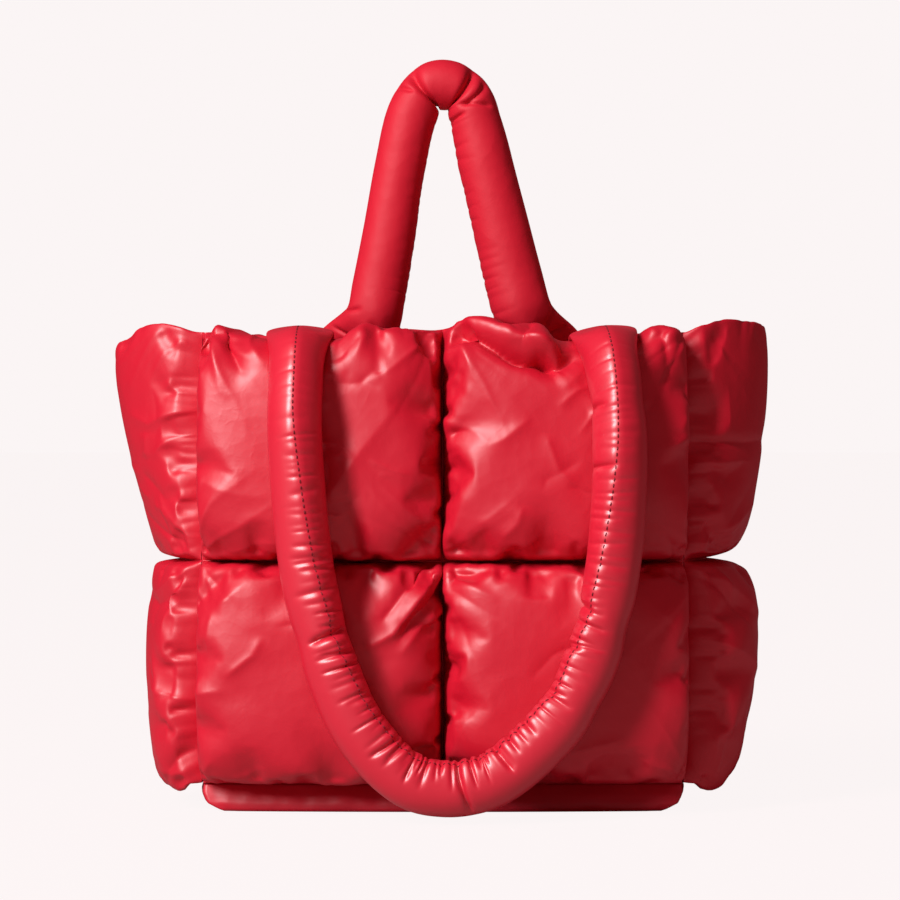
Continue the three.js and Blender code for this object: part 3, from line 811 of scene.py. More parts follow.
def gather_lift(pillow, x, y, random):
    """Short pleats that start at the seams and run inwards, a little askew."""
    total = 0 * x
    sizes = pillow["half_size"]
    for edge, strength in enumerate(gather_strengths(pillow)):
        upright = edge < 2
        half_edge = sizes[1] if upright else sizes[0]
        reach = sizes[0] if upright else sizes[1]
        sign = -1 if edge in (0, 2) else 1
        place = -half_edge + random.uniform(GATHER_MARGIN, 2.5 * GATHER_MARGIN) * MM
        while place < half_edge - GATHER_MARGIN * MM:
            length = random.uniform(*GATHER_LENGTHS) * MM * min(1.0, 0.5 + strength / 2)
            slant = random.normal() * GATHER_SLANT * length
            depth = random.uniform(*GATHER_DEPTHS) * MM * strength
            width = GATHER_WIDTH * random.uniform(0.8, 1.6)
            start = (sign * reach, place)
            end = (sign * (reach - length), place + slant)
            line = np.array([start, end] if upright else [start[::-1], end[::-1]])
            away, share = line_distance(x, y, line)
            total -= depth * ridge(away, width * (1 + share), GATHER_POWER) * (1 - share) ** 1.4
            place += GATHER_PITCH * random.uniform(0.55, 1.45)
    return total


# How many small crumples each pillow has, by side and row, and how many fan lines each corner has.
CRUMPLES = {"front_upper": 14, "front_lower": 6, "rear_upper": 14, "rear_lower": 10}
CRUMPLES.update({"left_upper": 14, "left_lower": 6, "right_upper": 8, "right_lower": 9})
FAN_LINES = {"upper": 5, "lower": 3}
# The ranges of their lengths, widths and depths, in mm.
CRUMPLE_RANGES = [(12, 42), (1.6, 4.5), (0.5, 1.5)]
FAN_RANGES = [(30, 85), (1.6, 4.0), (0.7, 1.9)]
CRUMPLE_POWER = 1.2
FAN_POWER = 1.15


def crumple_lift(pillow, x, y, random):
    """Small sharp creases over the whole pillow. They lie roughly in line with its nearest corner."""
    lengths, widths, depths = CRUMPLE_RANGES
    total = 0 * x
    for _ in range(CRUMPLES[f"{pillow['side']}_{pillow['row']}"]):
        place = random.uniform(-0.92, 0.92, 2)
        corner = np.sign(place) - place
        lean = math.atan2(corner[1], corner[0]) + random.normal() * 0.6
        length = random.uniform(*lengths) * MM
        start = place * pillow["half_size"]
        end = start - length * np.array([math.cos(lean), math.sin(lean)])
        bend = (start + end) / 2 + random.normal(size=2) * length * 0.12
        away, share = line_distance(x, y, np.array([start, bend, end]))
        width = random.uniform(*widths) * MM
        depth = random.uniform(*depths) * MM * random.choice([-1, 1])
        total += depth * ridge(away, width, CRUMPLE_POWER) * ease(np.sin(np.pi * share), 0, 0.8)
    return total


def fan_lift(pillow, x, y, random):
    """Long fine tension lines that spread from each corner of the pillow, where two seams pull."""
    lengths, widths, depths = FAN_RANGES
    total = 0 * x
    for corner in ((-1, -1), (1, -1), (1, 1), (-1, 1)):
        for _ in range(FAN_LINES[pillow["row"]]):
            start = (np.array(corner) * random.uniform(0.8, 1.0, 2)) * pillow["half_size"]
            lean = math.atan2(-corner[1], -corner[0]) + random.normal() * 0.38
            length = random.uniform(*lengths) * MM
            run = length * np.array([math.cos(lean), math.sin(lean)])
            bend = start + run / 2 + random.normal(size=2) * length * 0.05
            away, share = line_distance(x, y, np.array([start, bend, start + run]))
            width = random.uniform(*widths) * MM * (0.6 + share)
            depth = random.uniform(*depths) * MM * random.choice([-1, 1], p=[0.4, 0.6])
            total += depth * ridge(away, width, FAN_POWER) * (1 - share) * ease(share, -0.1, 0.15)
    return total


# %% [markdown]
# ## Pillow meshes
# The blown-up grid is coarse, so a smooth curve is drawn through it both ways and read off finely. Then
# the folds and gathers are added along the surface's own direction. Last, the cloth is stopped where
# something is in its way: the seam's plane, where the next pillow pushes back, the rim, the base, and
# the handle that hangs in front.

# %% Pillow meshes
OUTER_FINENESS = 4
INNER_FINENESS = 2
# How far the pillows stand out of the seam net near their bottom, middle and top, in mm.
CAPS = {
    "front_lower": (50, 50, 50),
    "front_upper": (50, 50, 49),
    "rear_lower": (44, 43, 42),
    "rear_upper": (42, 42, 40),
    "left_lower": (33, 33, 19),
    "left_upper": (15, 23, 24),
    "right_lower": (37, 49, 37),
    "right_upper": (26, 27, 16),
}
# A pillow reaches its full swell at this share of its cap, and the power says how square it gets there.
BOXED_AT = 0.95
CAP_LIMIT = 0.98
CAP_SOFTNESS = 0.06
BOXINESS = 2.4
SIDE_BOXINESS = 2.2
# How far the cloth bulges past its seams, past the rim, and down beside the base.
EDGE_BULGE = 5 * MM
RIM_BULGE = 13 * MM
SAG = 26 * MM
# Folds die away over this share of the half pillow beside its seams.
SEAM_MARGIN = 0.04
# How low the side pillows and the panel pillows may hang, and how much room they leave the base.
SAG_LEVEL = 3 * MM
PANEL_SAG_LEVEL = 15 * MM
BASE_CLEARANCE = 9 * MM
BASE_BULGE = 5 * MM
# Where the cloth stops, and how softly.
PANEL_OVERHANG = 3 * MM
OVERHANG_SOFTNESS = 2 * MM
NEIGHBOUR_SOFTNESS = 0.4 * MM
RIM_ROLL = 8 * MM
HANDLE_DENT = 1 * MM
HANDLE_SOFTNESS = 1.5 * MM


def curve_rows(count, fineness):
    """The matrix that reads a Catmull-Rom curve through count points at fineness steps a span."""
    places = np.linspace(0, count - 1, (count - 1) * fineness + 1)
    first = np.minimum(places.astype(int), count - 2)
    t = places - first
    weights = (
        (-t + 2 * t**2 - t**3) / 2,
        (2 - 5 * t**2 + 3 * t**3) / 2,
        (t + 4 * t**2 - 3 * t**3) / 2,
        (-(t**2) + t**3) / 2,
    )
    rows = np.zeros((len(places), count))
    for shift, weight in zip((-1, 0, 1, 2), weights):
        column = np.clip(first + shift, 0, count - 1)
        np.add.at(rows, (np.arange(len(places)), column), weight)
    return rows


def refine(grid, fineness):
    """A finer grid on the same smooth surface."""
    rows = curve_rows(len(grid), fineness)
    return np.einsum("ai,ijk,bj->abk", rows, grid, rows)


def soft_min(value, limit, softness):
    """The smaller of two values, with a rounded turn between them."""
    return limit - softness * np.logaddexp(0, (limit - value) / softness)


def soft_max(value, limit, softness):
    return -soft_min(-value, -limit, softness)


def grid_normals(grid):
    """The way out of the cloth at each point of a grid."""
    cross = np.cross(np.gradient(grid, axis=1), np.gradient(grid, axis=0))
    return cross / np.maximum(np.linalg.norm(cross, axis=-1, keepdims=True), 1e-12)


def net_axis(pillow, grid):
    """Which axis a pillow swells along, its sign there, and how far out the seam net is."""
    x, y, z = grid[..., 0], grid[..., 1], grid[..., 2]
    if pillow["side"] in PANELS:
        return 1, np.sign(y.mean()), half_depth(z) + PANEL_BOW * np.cos(np.pi * x / HALF_PANEL / 2)
    turn = np.clip(y / half_depth(z), -1, 1) * np.pi / 2
    return 0, np.sign(x.mean()), HALF_PANEL + gusset_bow(z) * np.cos(turn)


def edge_bulges(side, row, upright):
    """How far the cloth bulges past its low and its high edge, or its left and its right one."""
    at_rim = row == "upper"
    if side not in PANELS:
        return ((0, RIM_BULGE) if at_rim else (SAG, 0)) if upright else (0, 0)
    return EDGE_BULGE, RIM_BULGE if upright and at_rim else EDGE_BULGE


def fill_out(pillow, grid):
    """Makes a blown-up pillow boxier: steep at its seams, flat at its crown and full at its edges."""
    axis, sign, net = net_axis(pillow, grid)
    side, row = pillow["side"], pillow["row"]
    middle_height = grid[..., 2].mean()
    upward = np.clip((grid[..., 2] - middle_height) / pillow["half_size"][1], -1, 1)
    low, middle, high = CAPS[f"{side}_{row}"]
    cap = (middle + (high - low) / 2 * upward + ((high + low) / 2 - middle) * upward**2) * MM
    swollen = sign * grid[..., axis] - net
    share = np.clip(swollen / cap, 0, None)
    boxiness = BOXINESS if side in PANELS else SIDE_BOXINESS
    boxed = 1 - np.clip(1 - share / BOXED_AT, 0, None) ** boxiness
    grid = grid.copy()
    capped = cap * soft_min(boxed, CAP_LIMIT, CAP_SOFTNESS)
    grid[..., axis] = sign * (net + np.where(swollen > 0, capped, swollen))
    centre = grid.mean((0, 1))
    shoulder = np.sin(np.pi * np.clip(share * 0.7, 0, 1))
    for side_axis, half_size in zip((1 - axis, 2), pillow["half_size"]):
        place = np.clip((grid[..., side_axis] - centre[side_axis]) / half_size, -1.1, 1.1)
        bulge_low, bulge_high = edge_bulges(side, row, side_axis == 2)
        bulge = np.where(place > 0, bulge_high, bulge_low)
        grid[..., side_axis] += np.sign(place) * np.abs(place) ** 3 * shoulder * bulge
    return grid


def stop_at_neighbours(pillow, grid):
    """Keeps a pillow on its own side of its seams, below the rim's roll and above the base."""
    grid = grid.copy()
    side, row = pillow["side"], pillow["row"]
    soft = NEIGHBOUR_SOFTNESS
    if side in PANELS:
        towards = 1 if (pillow["start"] == 0) == (side == "rear") else -1
        grid[..., 0] = towards * soft_max(towards * grid[..., 0], 0, soft)
        edge = HALF_PANEL + PANEL_OVERHANG
        grid[..., 0] = towards * soft_min(towards * grid[..., 0], edge, OVERHANG_SOFTNESS)
    if row == "upper":
        grid[..., 2] = soft_max(grid[..., 2], ROW_SEAM, soft)
        grid[..., 2] = soft_min(grid[..., 2], RIM + RIM_ROLL, 3 * soft)
    else:
        grid[..., 2] = soft_min(grid[..., 2], ROW_SEAM, soft)
        beside_base = np.abs(grid[..., 0]) - (HALF_PANEL + BASE_GUSSET_BOW + BASE_BULGE)
        before_base = np.abs(grid[..., 1]) - (BASE_DEPTH / 2 + PANEL_BOW + BASE_BULGE)
        clear_of_base = ease(np.maximum(beside_base, before_base), 0, BASE_CLEARANCE)
        level = PANEL_SAG_LEVEL if side in PANELS else SAG_LEVEL
        stop = BASE_TOP - soft - (BASE_TOP - level) * clear_of_base
        grid[..., 2] = soft_max(grid[..., 2], stop, soft)
    reach = np.abs(grid[..., 0]) - HALF_PANEL
    depth = np.abs(grid[..., 1]) - half_depth(grid[..., 2])
    over = (reach - depth) / 2
    stopped = soft_min(over, 0, soft) if side in PANELS else soft_max(over, 0, 4 * soft)
    grid[..., 0] -= np.sign(grid[..., 0]) * (over - stopped)
    grid[..., 1] += np.sign(grid[..., 1]) * (over - stopped)
    return grid


def press_under_handle(grid, middle, radius):
    """Pushes a front pillow back to where the hanging handle's tube leaves room."""
    hanging = middle[middle[:, 1] < -(RIM_DEPTH / 2 + PANEL_BOW + HANDLE_RADIUS)][::4]
    flat = grid.reshape(-1, 3)
    gap = np.hypot(flat[:, None, 0] - hanging[None, :, 0], flat[:, None, 2] - hanging[None, :, 2])
    nearest = gap.argmin(1)
    away = gap[np.arange(len(flat)), nearest]
    behind = hanging[nearest, 1] + np.sqrt(np.clip(radius**2 - away**2, 0, None))
    limit = np.where(away < radius, behind + HANDLE_DENT, -1.0)
    pressed = flat.copy()
    pressed[:, 1] = soft_max(flat[:, 1], limit, HANDLE_SOFTNESS)
    return pressed.reshape(grid.shape)


def add_piece(name, points, faces, material, replaced=()):
    """A mesh piece that rides on the bag, with its finish and what it stands for."""
    mesh = bpy.data.meshes.new(name)
    mesh.from_pydata(points.tolist(), [], list(faces))
    mesh.materials.append(material)
    mesh.shade_smooth()
    piece = bpy.data.objects.new(name, mesh)
    bpy.context.scene.collection.objects.link(piece)
    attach(piece, "root")
    if replaced:
        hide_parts(*replaced)
    return piece


def dress_pillow(pillow, outer, inner, random):
    """One finished pillow from its blown-up layers: shaped, folded, stopped and given its cloth."""
    across, up = square((CLOTH_COUNT - 1) * OUTER_FINENESS + 1)
    grid = fill_out(pillow, refine(outer, OUTER_FINENESS))
    x, y = across * pillow["half_size"][0], up * pillow["half_size"][1]
    lift = fold_lift(pillow, x, y) + gather_lift(pillow, x, y, random)
    lift += crumple_lift(pillow, x, y, random) + fan_lift(pillow, x, y, random)
    inside_seam = np.clip((1 - np.maximum(np.abs(across), np.abs(up))) / SEAM_MARGIN, 0, 1)
    grid = grid + grid_normals(grid) * (lift * inside_seam)[..., None]
    grid = stop_at_neighbours(pillow, grid)
    if pillow["side"] == "front":
        grid = press_under_handle(grid, front_middle, HANDLE_RADIUS)
    lining = refine(inner, INNER_FINENESS)
    outer_index = np.arange(grid.shape[0] ** 2).reshape(grid.shape[:2])
    inner_index = outer_index.size + np.arange(lining.shape[0] ** 2).reshape(lining.shape[:2])
    points = np.concatenate([grid.reshape(-1, 3), lining.reshape(-1, 3)])
    faces = np.concatenate([grid_faces(outer_index), grid_faces(inner_index)[:, ::-1]]).tolist()
    name = pillow["name"]
    add_piece(f"{name}_puff", points, faces, shell_cloth, (f"{name}_pillow",))


for pillow, (outer, inner) in zip(pillows, shapes):
    dress_pillow(pillow, outer, inner, random)
print("pillows dressed:", len(pillows))

# %% [markdown]
# ## Seam binding
# Inside each seam the cut edges of the cloth are bound with a narrow tape. It stands edge on between
# the pillows, and closes the slit that one would otherwise see daylight through. A flat bar is swept
# along each seam of the net: round the row seam, and up each upright seam.

# %% Seam binding
BINDING_INNER = -4 * MM
BINDING_OUTER = 0.5 * MM
BINDING_THICKNESS = 1 * MM
BINDING_FOOT = 2 * MM
BINDING_HEAD = 6 * MM


def bar_along(middles, closed):
    """A flat bar along places on the net, standing out of it edge on."""
    out = outward(middles)
    along = np.gradient(middles, axis=0)
    beside = np.cross(along, out)
    beside *= BINDING_THICKNESS / 2 / np.linalg.norm(beside, axis=-1, keepdims=True)
    low, high = middles + out * BINDING_INNER, middles + out * BINDING_OUTER
    rings = np.stack([low - beside, high - beside, high + beside, low + beside], 1)
    index = np.arange(len(middles) * 4).reshape(-1, 4)
    if closed:
        return rings.reshape(-1, 3), grid_faces(wrap(np.concatenate([index, index[:1]]))).tolist()
    ends = [index[0].tolist(), index[-1, ::-1].tolist()]
    return rings.reshape(-1, 3), grid_faces(wrap(index)).tolist() + ends


def add_binding():
    """A bar round the row seam and one up each upright seam, as one piece."""
    u = np.linspace(0, 1, 40, endpoint=False)
    level = np.full(u.shape, ROW_SEAM)
    round_row = [net_point(side, u, level) for side in SIDES]
    seams = [(np.concatenate(round_row), True)]
    for side in PANELS:
        for place in (0.0, 0.5, 1.0):
            z = np.linspace(BASE_TOP + BINDING_FOOT, RIM - BINDING_HEAD, 60)
            seams.append((net_point(side, np.full(z.shape, place), z), False))
    points, faces = [], []
    for middles, closed in seams:
        bar_points, bar_faces = bar_along(middles, closed)
        start = sum(len(rows) for rows in points)
        faces += [[start + k for k in face] for face in bar_faces]
        points.append(bar_points)
    add_piece("seam_binding", np.concatenate(points), faces, shell_cloth)
    return len(seams)


print("seam binding:", add_binding(), "seams")

# %% [markdown]
# ## Base pad
# Under the pillows is a thin padded base. Little of it shows: a dark band with a few soft puckers
# between the lower pillows and the floor. A ring of points round the net, repeated at 15 heights, makes
# its side, and two flat fans close it.

# %% Base pad
BASE_COUNT = 480
BASE_TUCK = 17 * MM
BASE_SPREAD = 1.5 * MM
BASE_CORNER = 30 * MM
BASE_PUCKER = 0.5 * MM
BASE_PUCKER_WAVES = (23, 31, 44, 61, 83)
BASE_GAP = 0.4 * MM
BASE_LEVELS = 15
# Each row: height as a share of the pad's, and there the share of the bulge, or of the tuck.
BASE_PROFILE = [(0, 0.4), (0.08, 0.7), (0.3, 0.7), (0.6, 0.3), (0.85, -0.2), (1, -0.5)]
BASE_TUCK_PROFILE = [(0, 1), (0.3, 0.4), (0.7, 0.1), (1, 0)]


def base_ring():
    """Places round the seam net at the top of the base."""
    u = np.linspace(0, 1, BASE_COUNT // 4, endpoint=False)
    level = np.full(u.shape, BASE_TOP)
    return np.concatenate([net_point(side, u, level) for side in SIDES])


def base_pad(random):
    """Points and faces of the pad. It is tucked in at its bottom near both ends, where it is sewn round."""
    ring = base_ring()
    out = outward(ring)
    heights = np.linspace(0, 1, BASE_LEVELS)
    offsets = BASE_BULGE * np.interp(heights, *zip(*BASE_PROFILE))
    tuck = BASE_TUCK * np.interp(heights, *zip(*BASE_TUCK_PROFILE)) - BASE_SPREAD
    angle = np.linspace(0, 2 * np.pi, BASE_COUNT, endpoint=False)
    puckers = 0 * angle
    for waves in BASE_PUCKER_WAVES:
        puckers += random.normal() * np.sin(waves * angle + random.uniform(0, 6.3)) / 3
    rows = []
    towards_end = ease(np.abs(ring[:, 0]), HALF_PANEL - BASE_CORNER, HALF_PANEL)
    for height, offset, pull in zip(heights, offsets, tuck):
        pucker = BASE_PUCKER * puckers * math.sin(math.pi * height)
        row = ring + out * (offset + pucker)[:, None]
        row[:, 0] -= np.sign(ring[:, 0]) * pull * towards_end
        row[:, 2] = height * (BASE_TOP - BASE_GAP)
        rows.append(row)
    points = np.concatenate([*rows, [[0, 0, 0]], [[0, 0, BASE_TOP - BASE_GAP]]])
    index = np.arange(len(rows) * BASE_COUNT).reshape(len(rows), BASE_COUNT)
    wrapped = wrap(index)
    under, over = len(points) - 2, len(points) - 1
    faces = grid_faces(wrapped).tolist()
    faces += [[under, b, a] for a, b in zip(wrapped[0, :-1].tolist(), wrapped[0, 1:].tolist())]
    faces += [[over, a, b] for a, b in zip(wrapped[-1, :-1].tolist(), wrapped[-1, 1:].tolist())]
    return points, faces


base_points, base_faces = base_pad(random)
add_piece("padded_base", base_points, base_faces, shell_cloth, ("base_pad",))
print("base pad:", len(base_points), "points")

# %% [markdown]
# ## Handles
# The tube is one long grid wrapped round its route. Its seam runs down the front of each leg and
# swings to the inside of the bend, where the spare cloth is gathered into ripples. Kinks are short deep
# creases across the tube. The seam itself is a low crest with a fine groove, and thread lies in it. The
# cloth of the rear handle is duller, as if worn by the hand, and its tube folds at two kinks at the top.

# %% Handle meshes
FRONT_STRAP_LENGTH = 52 * MM
FRONT_STRAP_WIDTH = 44 * MM
REAR_STRAP_LENGTH = 20 * MM
REAR_STRAP_WIDTH = 54 * MM
STRAP_SWELL = 48 * MM
TUBE_SIDES = 56
RIPPLE_PITCH = 6.2 * MM
RIPPLE_DEPTH = 2.2 * MM
RIPPLE_POWER = 1.7
CREASE_POWER = 1.4
# Where the front handle's seam lies: share of the length, and degrees from the inside of the U towards
# the front.
FRONT_SEAM = [(0, 90), (0.16, 90), (0.25, 76), (0.33, 62), (0.42, 44), (0.5, 30), (0.58, 34)]
FRONT_SEAM += [(0.66, 48), (0.74, 66), (0.82, 84), (0.88, 90), (1, 90)]
# How strong the ripples are along the front handle.
FRONT_RIPPLES = [(0, 0.1), (0.12, 0.3), (0.24, 0.55), (0.3, 1), (0.5, 1.25), (0.66, 1), (0.74, 0.5)]
FRONT_RIPPLES += [(0.85, 0.4), (0.92, 0.2), (1, 0.1)]
REAR_RIPPLES = [(0, 0), (0.2, 0.15), (0.44, 0.15), (0.5, 0), (0.56, 0.3), (0.8, 0.35), (1, 0)]
CREST_HEIGHT = 5.4 * MM
CREST_WIDTH = 34  # degrees round the tube
GROOVE_DEPTH = 0.9 * MM
GROOVE_WIDTH = 4.0  # degrees
SEAM_TIGHTNESS = 0.4 * MM
FOOT_PINCH = 0.8 * MM
RIGHT_LEG_FULLNESS = 1.4 * MM
LEG_FULLNESS = 3 * MM
# Creases: share of the length, degrees round the tube from and to, width and depth in mm, and how
# steeply they cross the tube. 0 degrees is the inside of the bend. The front of the hanging handle is at
# 90, and the front of the standing one at -90.
FRONT_CREASES = [
    (0.33, 10, 120, 2.0, 3.6, 0.12),
    (0.345, 0, 100, 1.6, 2.2, -0.1),
    (0.505, 20, 150, 1.8, 3.0, 0.15),
    (0.43, 20, 100, 1.6, 2.4, -0.2),
    (0.455, 0, 90, 1.6, 2.4, 0.2),
    (0.545, 0, 90, 1.8, 2.8, 0.1),
    (0.655, -30, 60, 2.0, 3.4, 0.1),
    (0.69, -30, 60, 2.0, 3.2, -0.1),
    (0.8, -10, 80, 1.8, 2.4, 0.1),
    (0.845, -10, 60, 1.8, 2.4, -0.1),
]
REAR_CREASES = [
    (0.465, -165, 60, 2.0, 7.0, -0.12),
    (0.457, -165, -100, 1.4, 2.4, 0.1),
    (0.5345, -165, 60, 2.0, 7.0, 0.09),
    (0.548, -150, -60, 1.6, 2.8, 0.25),
    (0.558, -130, -50, 1.5, 2.4, -0.3),
    (0.572, -60, 20, 1.4, 2.0, 0.2),
    (0.098, -150, -30, 2.0, 4.0, 0.3),
    (0.115, -80, 20, 1.6, 2.4, -0.4),
    (0.13, -170, -110, 1.6, 1.8, 0.4),
    (0.905, -150, -30, 2.0, 4.0, -0.3),
    (0.885, -170, -100, 1.6, 2.4, 0.4),
    (0.87, -60, 10, 1.6, 1.8, -0.4),
]
# Kinks: share of the length, how much narrower the tube gets, and how far that reaches in diameters.
FRONT_KINKS = [(0.33, 0.08, 0.35), (0.62, 0.08, 0.35), (0.68, 0.1, 0.35), (0.85, 0.07, 0.35)]
REAR_KINKS = [(0.468, 0.1, 0.25), (0.535, 0.1, 0.25)]


def carried_widths(middle):
    """The tube's own width direction at each place, carried along the route without twisting."""
    along = np.gradient(middle, axis=0)
    along /= np.linalg.norm(along, axis=1, keepdims=True)
    width = np.array([1.0, 0, 0])
    widths = []
    for direction in along:
        width = width - direction * (width @ direction)
        width = width / np.linalg.norm(width)
        widths.append(width)
    widths = np.array(widths)
    return widths, np.cross(along, widths)


def list_ripples(length, margin, strengths, random):
    """Short valleys across the seam: place, depth, width, their reach each way in degrees, and slant."""
    rows = []
    place = margin
    while place < length - margin:
        strength = np.interp(place / length, *zip(*strengths))
        depth = random.uniform(0.2, 1.3) * RIPPLE_DEPTH * strength
        width = random.uniform(1.0, 2.4) * MM
        reaches = random.uniform(30, 75), random.uniform(20, 60)
        rows.append((place, depth, width, *reaches, random.normal()))
        place += RIPPLE_PITCH * random.uniform(0.45, 1.6)
    return rows


def handle_grid(middle, length, strap_length, strap_width, kinks, relief):
    """The tube's points: stations along the route by places round it."""
    share = np.linspace(0, 1, len(middle))
    widths, thicks = carried_widths(middle)
    from_end = np.minimum(share, 1 - share) * length
    fill = ease(from_end, strap_length, strap_length + STRAP_SWELL)
    half_width = strap_width / 2 + (HANDLE_RADIUS - strap_width / 2) * fill
    for at, squeeze, reach in kinks:
        away = np.abs(share - at) * length / (reach * 2 * HANDLE_RADIUS)
        half_width *= 1 - squeeze * ridge(away, 1, 2)
    half_thick = STRAP_THICKNESS / 2 + (HANDLE_RADIUS - STRAP_THICKNESS / 2) * fill
    turn = np.linspace(0, 2 * np.pi, TUBE_SIDES, endpoint=False)
    size = 1 + relief(share[:, None], np.degrees(turn)[None, :], fill[:, None]) / HANDLE_RADIUS
    across = (np.cos(turn) * half_width[:, None] * size)[..., None] * widths[:, None]
    through = (np.sin(turn) * half_thick[:, None] * size)[..., None] * thicks[:, None]
    return middle[:, None] + across + through


def turn_between(turn, centre):
    """The angle from centre to turn, from -180 to 180 degrees."""
    return (turn - centre + 180) % 360 - 180


def crease_relief(share, turn, length, creases):
    """Sharp valleys across the tube, each a little askew."""
    total = 0 * share + 0 * turn
    for at, start, end, width, depth, slope in creases:
        middle = (start + end) / 2
        spread = (end - start) / 2
        across = np.abs(turn_between(turn, middle)) / spread
        lean = slope * np.radians(turn_between(turn, middle)) * HANDLE_RADIUS
        away = np.abs((share - at) * length - lean) / (width * MM)
        total = total - depth * MM * ridge(away, 1, CREASE_POWER) * ease(1.15 - across, 0, 0.5)
    return total


def ripple_relief(share, from_seam, length, rows):
    """The listed ripples, worked out only at the stations near each."""
    total = 0 * share + 0 * from_seam
    for place, depth, width, reach_out, reach_in, slant in rows:
        near = np.abs(share[:, 0] * length - place) < 4 * width + 3 * MM
        reach = np.where(from_seam[near] < 0, reach_out, reach_in)
        bent = place + slant * 1.2 * MM * from_seam[near] / 60
        away = np.abs(share[near] * length - bent) / width
        fade = np.clip(1 - (np.abs(from_seam[near]) / reach), 0, 1) ** 0.7
        total[near] -= depth * ridge(away, 1, RIPPLE_POWER) * fade
    return total


def front_relief(share, turn, fill):
    """The seam's crest and groove, the ripples that its gathered cloth makes, and the creases."""
    from_seam = turn_between(turn, np.interp(share, *zip(*FRONT_SEAM)))
    crest = CREST_HEIGHT * np.exp(-np.abs(from_seam) / CREST_WIDTH)
    groove = -GROOVE_DEPTH * np.exp(-((from_seam / GROOVE_WIDTH) ** 2))
    ripples = ripple_relief(share, from_seam, front_length, front_ripples) * fill
    creases = crease_relief(share, turn, front_length, FRONT_CREASES)
    return crest + groove + ripples + creases - SEAM_TIGHTNESS


def rear_relief(share, turn, fill):
    """Pinches near the feet, a fuller right leg, legs fuller on their inside, ripples and creases."""
    feet = ease(np.abs(share - 0.5), 0.33, 0.41)
    pinch = FOOT_PINCH * np.sin(np.radians(turn) * 5 + 9 * share) * feet * fill
    pinch = pinch + RIGHT_LEG_FULLNESS * ease(share, 0.57, 0.64) * (1 - ease(share, 0.85, 0.92))
    from_inside = turn_between(turn, 0 * share)
    legs = ease(np.abs(share - 0.5), 0.14, 0.34)
    fuller = LEG_FULLNESS * np.exp(-((from_inside / 60) ** 2)) * legs
    ripples = ripple_relief(share, from_inside, rear_length, rear_ripples)
    return pinch + fuller + ripples + crease_relief(share, turn, rear_length, REAR_CREASES)


def tube_faces(stations):
    """Faces of a tube with flat ends."""
    index = np.arange(stations * TUBE_SIDES).reshape(stations, TUBE_SIDES)
    return grid_faces(wrap(index)).tolist() + [index[0].tolist(), index[-1, ::-1].tolist()]


front_ripples = list_ripples(front_length, FRONT_STRAP_LENGTH, FRONT_RIPPLES, random)
rear_ripples = list_ripples(rear_length, REAR_STRAP_LENGTH, REAR_RIPPLES, random)


def add_handle(name, grid, cloth, node):
    add_piece(name, grid.reshape(-1, 3), tube_faces(len(grid)), cloth, (node,))


front_grid = handle_grid(
    front_middle, front_length, FRONT_STRAP_LENGTH, FRONT_STRAP_WIDTH, FRONT_KINKS, front_relief
)
rear_grid = handle_grid(
    rear_middle, rear_length, REAR_STRAP_LENGTH, REAR_STRAP_WIDTH, REAR_KINKS, rear_relief
)
add_handle("front_tube", front_grid, handle_cloth, "front_handle")
add_handle("rear_tube", rear_grid, worn_cloth, "rear_handle")
print("handles:", front_grid.shape, rear_grid.shape)

# %% [markdown]
# ## Stitches
# Thick polyester thread, twisted and dyed a darker red, holds the handle's seam. Each stitch is a short
# spindle that dips into the cloth at both ends. One loop lays them along the seam at an even pitch.

# %% Stitches
STITCH_PITCH = 4.0 * MM
STITCH_LENGTH = 2.9 * MM
STITCH_MARGIN = 12 * MM
THREAD_RADIUS = 0.5 * MM
THREAD_COLOUR = "#7c0a1c"
STITCH_SIDES = 6
# Each ring of a stitch: place along it as a share of its length, and its size and rise in thread radii.
STITCH_RINGS = [(-0.5, 0.25, -0.5), (-0.3, 0.9, 0.25), (0, 1, 0.45), (0.3, 0.9, 0.25), (0.5, 0.25, -0.5)]


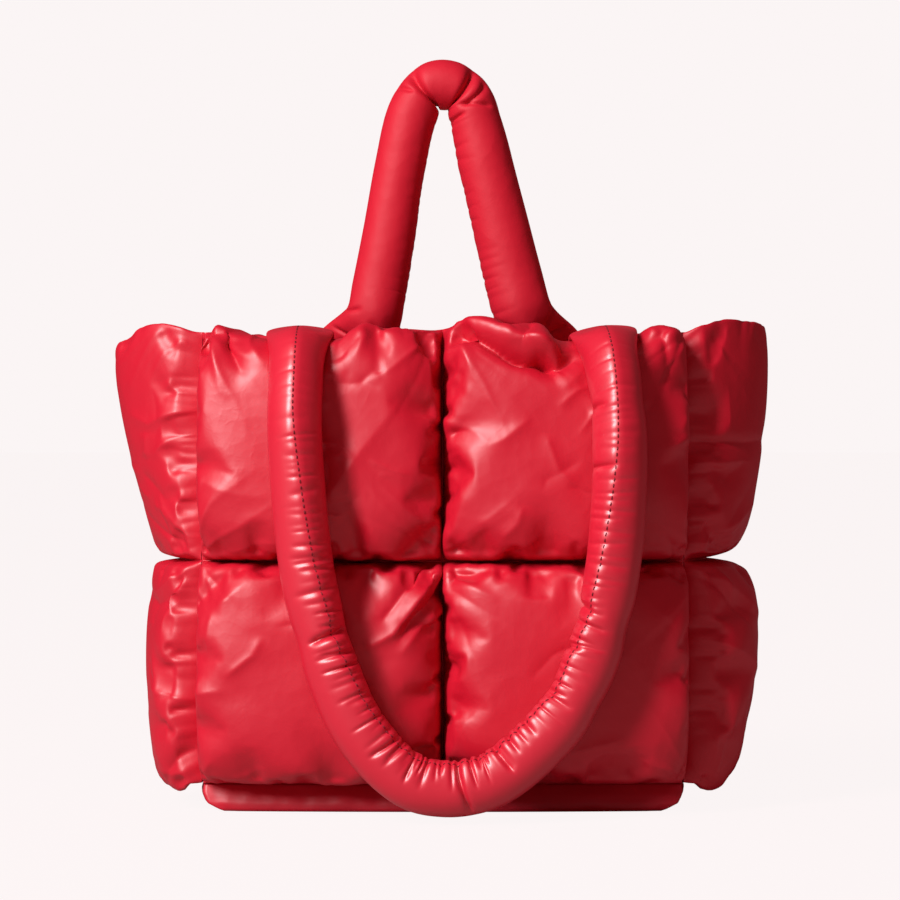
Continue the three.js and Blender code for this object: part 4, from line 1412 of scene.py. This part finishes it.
def polyester_thread():
    """Twisted polyester: darker than the cloth and nearly matt, so that the seam reads as a dark line."""
    material, tree = new_material("polyester_thread")
    values = {"Base Color": linear(THREAD_COLOUR), "Roughness": 0.6}
    thread = add_node(tree, "ShaderNodeBsdfPrincipled", values)
    add_node(tree, "ShaderNodeOutputMaterial", links={"Surface": thread.outputs[0]})
    return material


def seam_points(grid):
    """Points on the tube where its seam lies, and the way out of the tube there."""
    place = np.interp(np.linspace(0, 1, len(grid)), *zip(*FRONT_SEAM)) / 360 * TUBE_SIDES
    low = place.astype(int)
    part = (place - low)[:, None]
    rows = np.arange(len(grid))
    on_seam = grid[rows, low] * (1 - part) + grid[rows, (low + 1) % TUBE_SIDES] * part
    out = on_seam - front_middle
    return on_seam, out / np.linalg.norm(out, axis=1, keepdims=True)


def stitch_points(on_seam, out, travelled, at):
    """The rings of one stitch, some distance along the seam."""
    points = []
    for along, size, rise in STITCH_RINGS:
        here = at + along * STITCH_LENGTH
        centre = read_off(on_seam, travelled, here)
        up = read_off(out, travelled, here)
        ahead = read_off(on_seam, travelled, here + MM) - centre
        beside = np.cross(ahead / np.linalg.norm(ahead), up)
        for turn in np.arange(STITCH_SIDES) * 2 * math.pi / STITCH_SIDES:
            spoke = math.cos(turn) * beside + math.sin(turn) * up
            points.append(centre + up * rise * THREAD_RADIUS + spoke * size * THREAD_RADIUS)
    return points


def stitch_mesh(grid):
    """All the stitches as one mesh, each closed by a flat face at both ends."""
    on_seam, out = seam_points(grid)
    travelled = distances_along(on_seam)
    first = FRONT_STRAP_LENGTH + STITCH_MARGIN
    index = np.arange(len(STITCH_RINGS) * STITCH_SIDES).reshape(-1, STITCH_SIDES)
    tube = grid_faces(wrap(index)).tolist()
    tube += [index[0, ::-1].tolist(), index[-1].tolist()]
    points, faces = [], []
    for at in np.arange(first, travelled[-1] - first, STITCH_PITCH):
        faces += [[len(points) + k for k in face] for face in tube]
        points += stitch_points(on_seam, out, travelled, at)
    return np.array(points), faces


thread = polyester_thread()
thread_points, thread_faces = stitch_mesh(front_grid)
add_piece("front_seam_stitches", thread_points, thread_faces, thread)
print("stitches:", len(thread_points) // (len(STITCH_RINGS) * STITCH_SIDES))
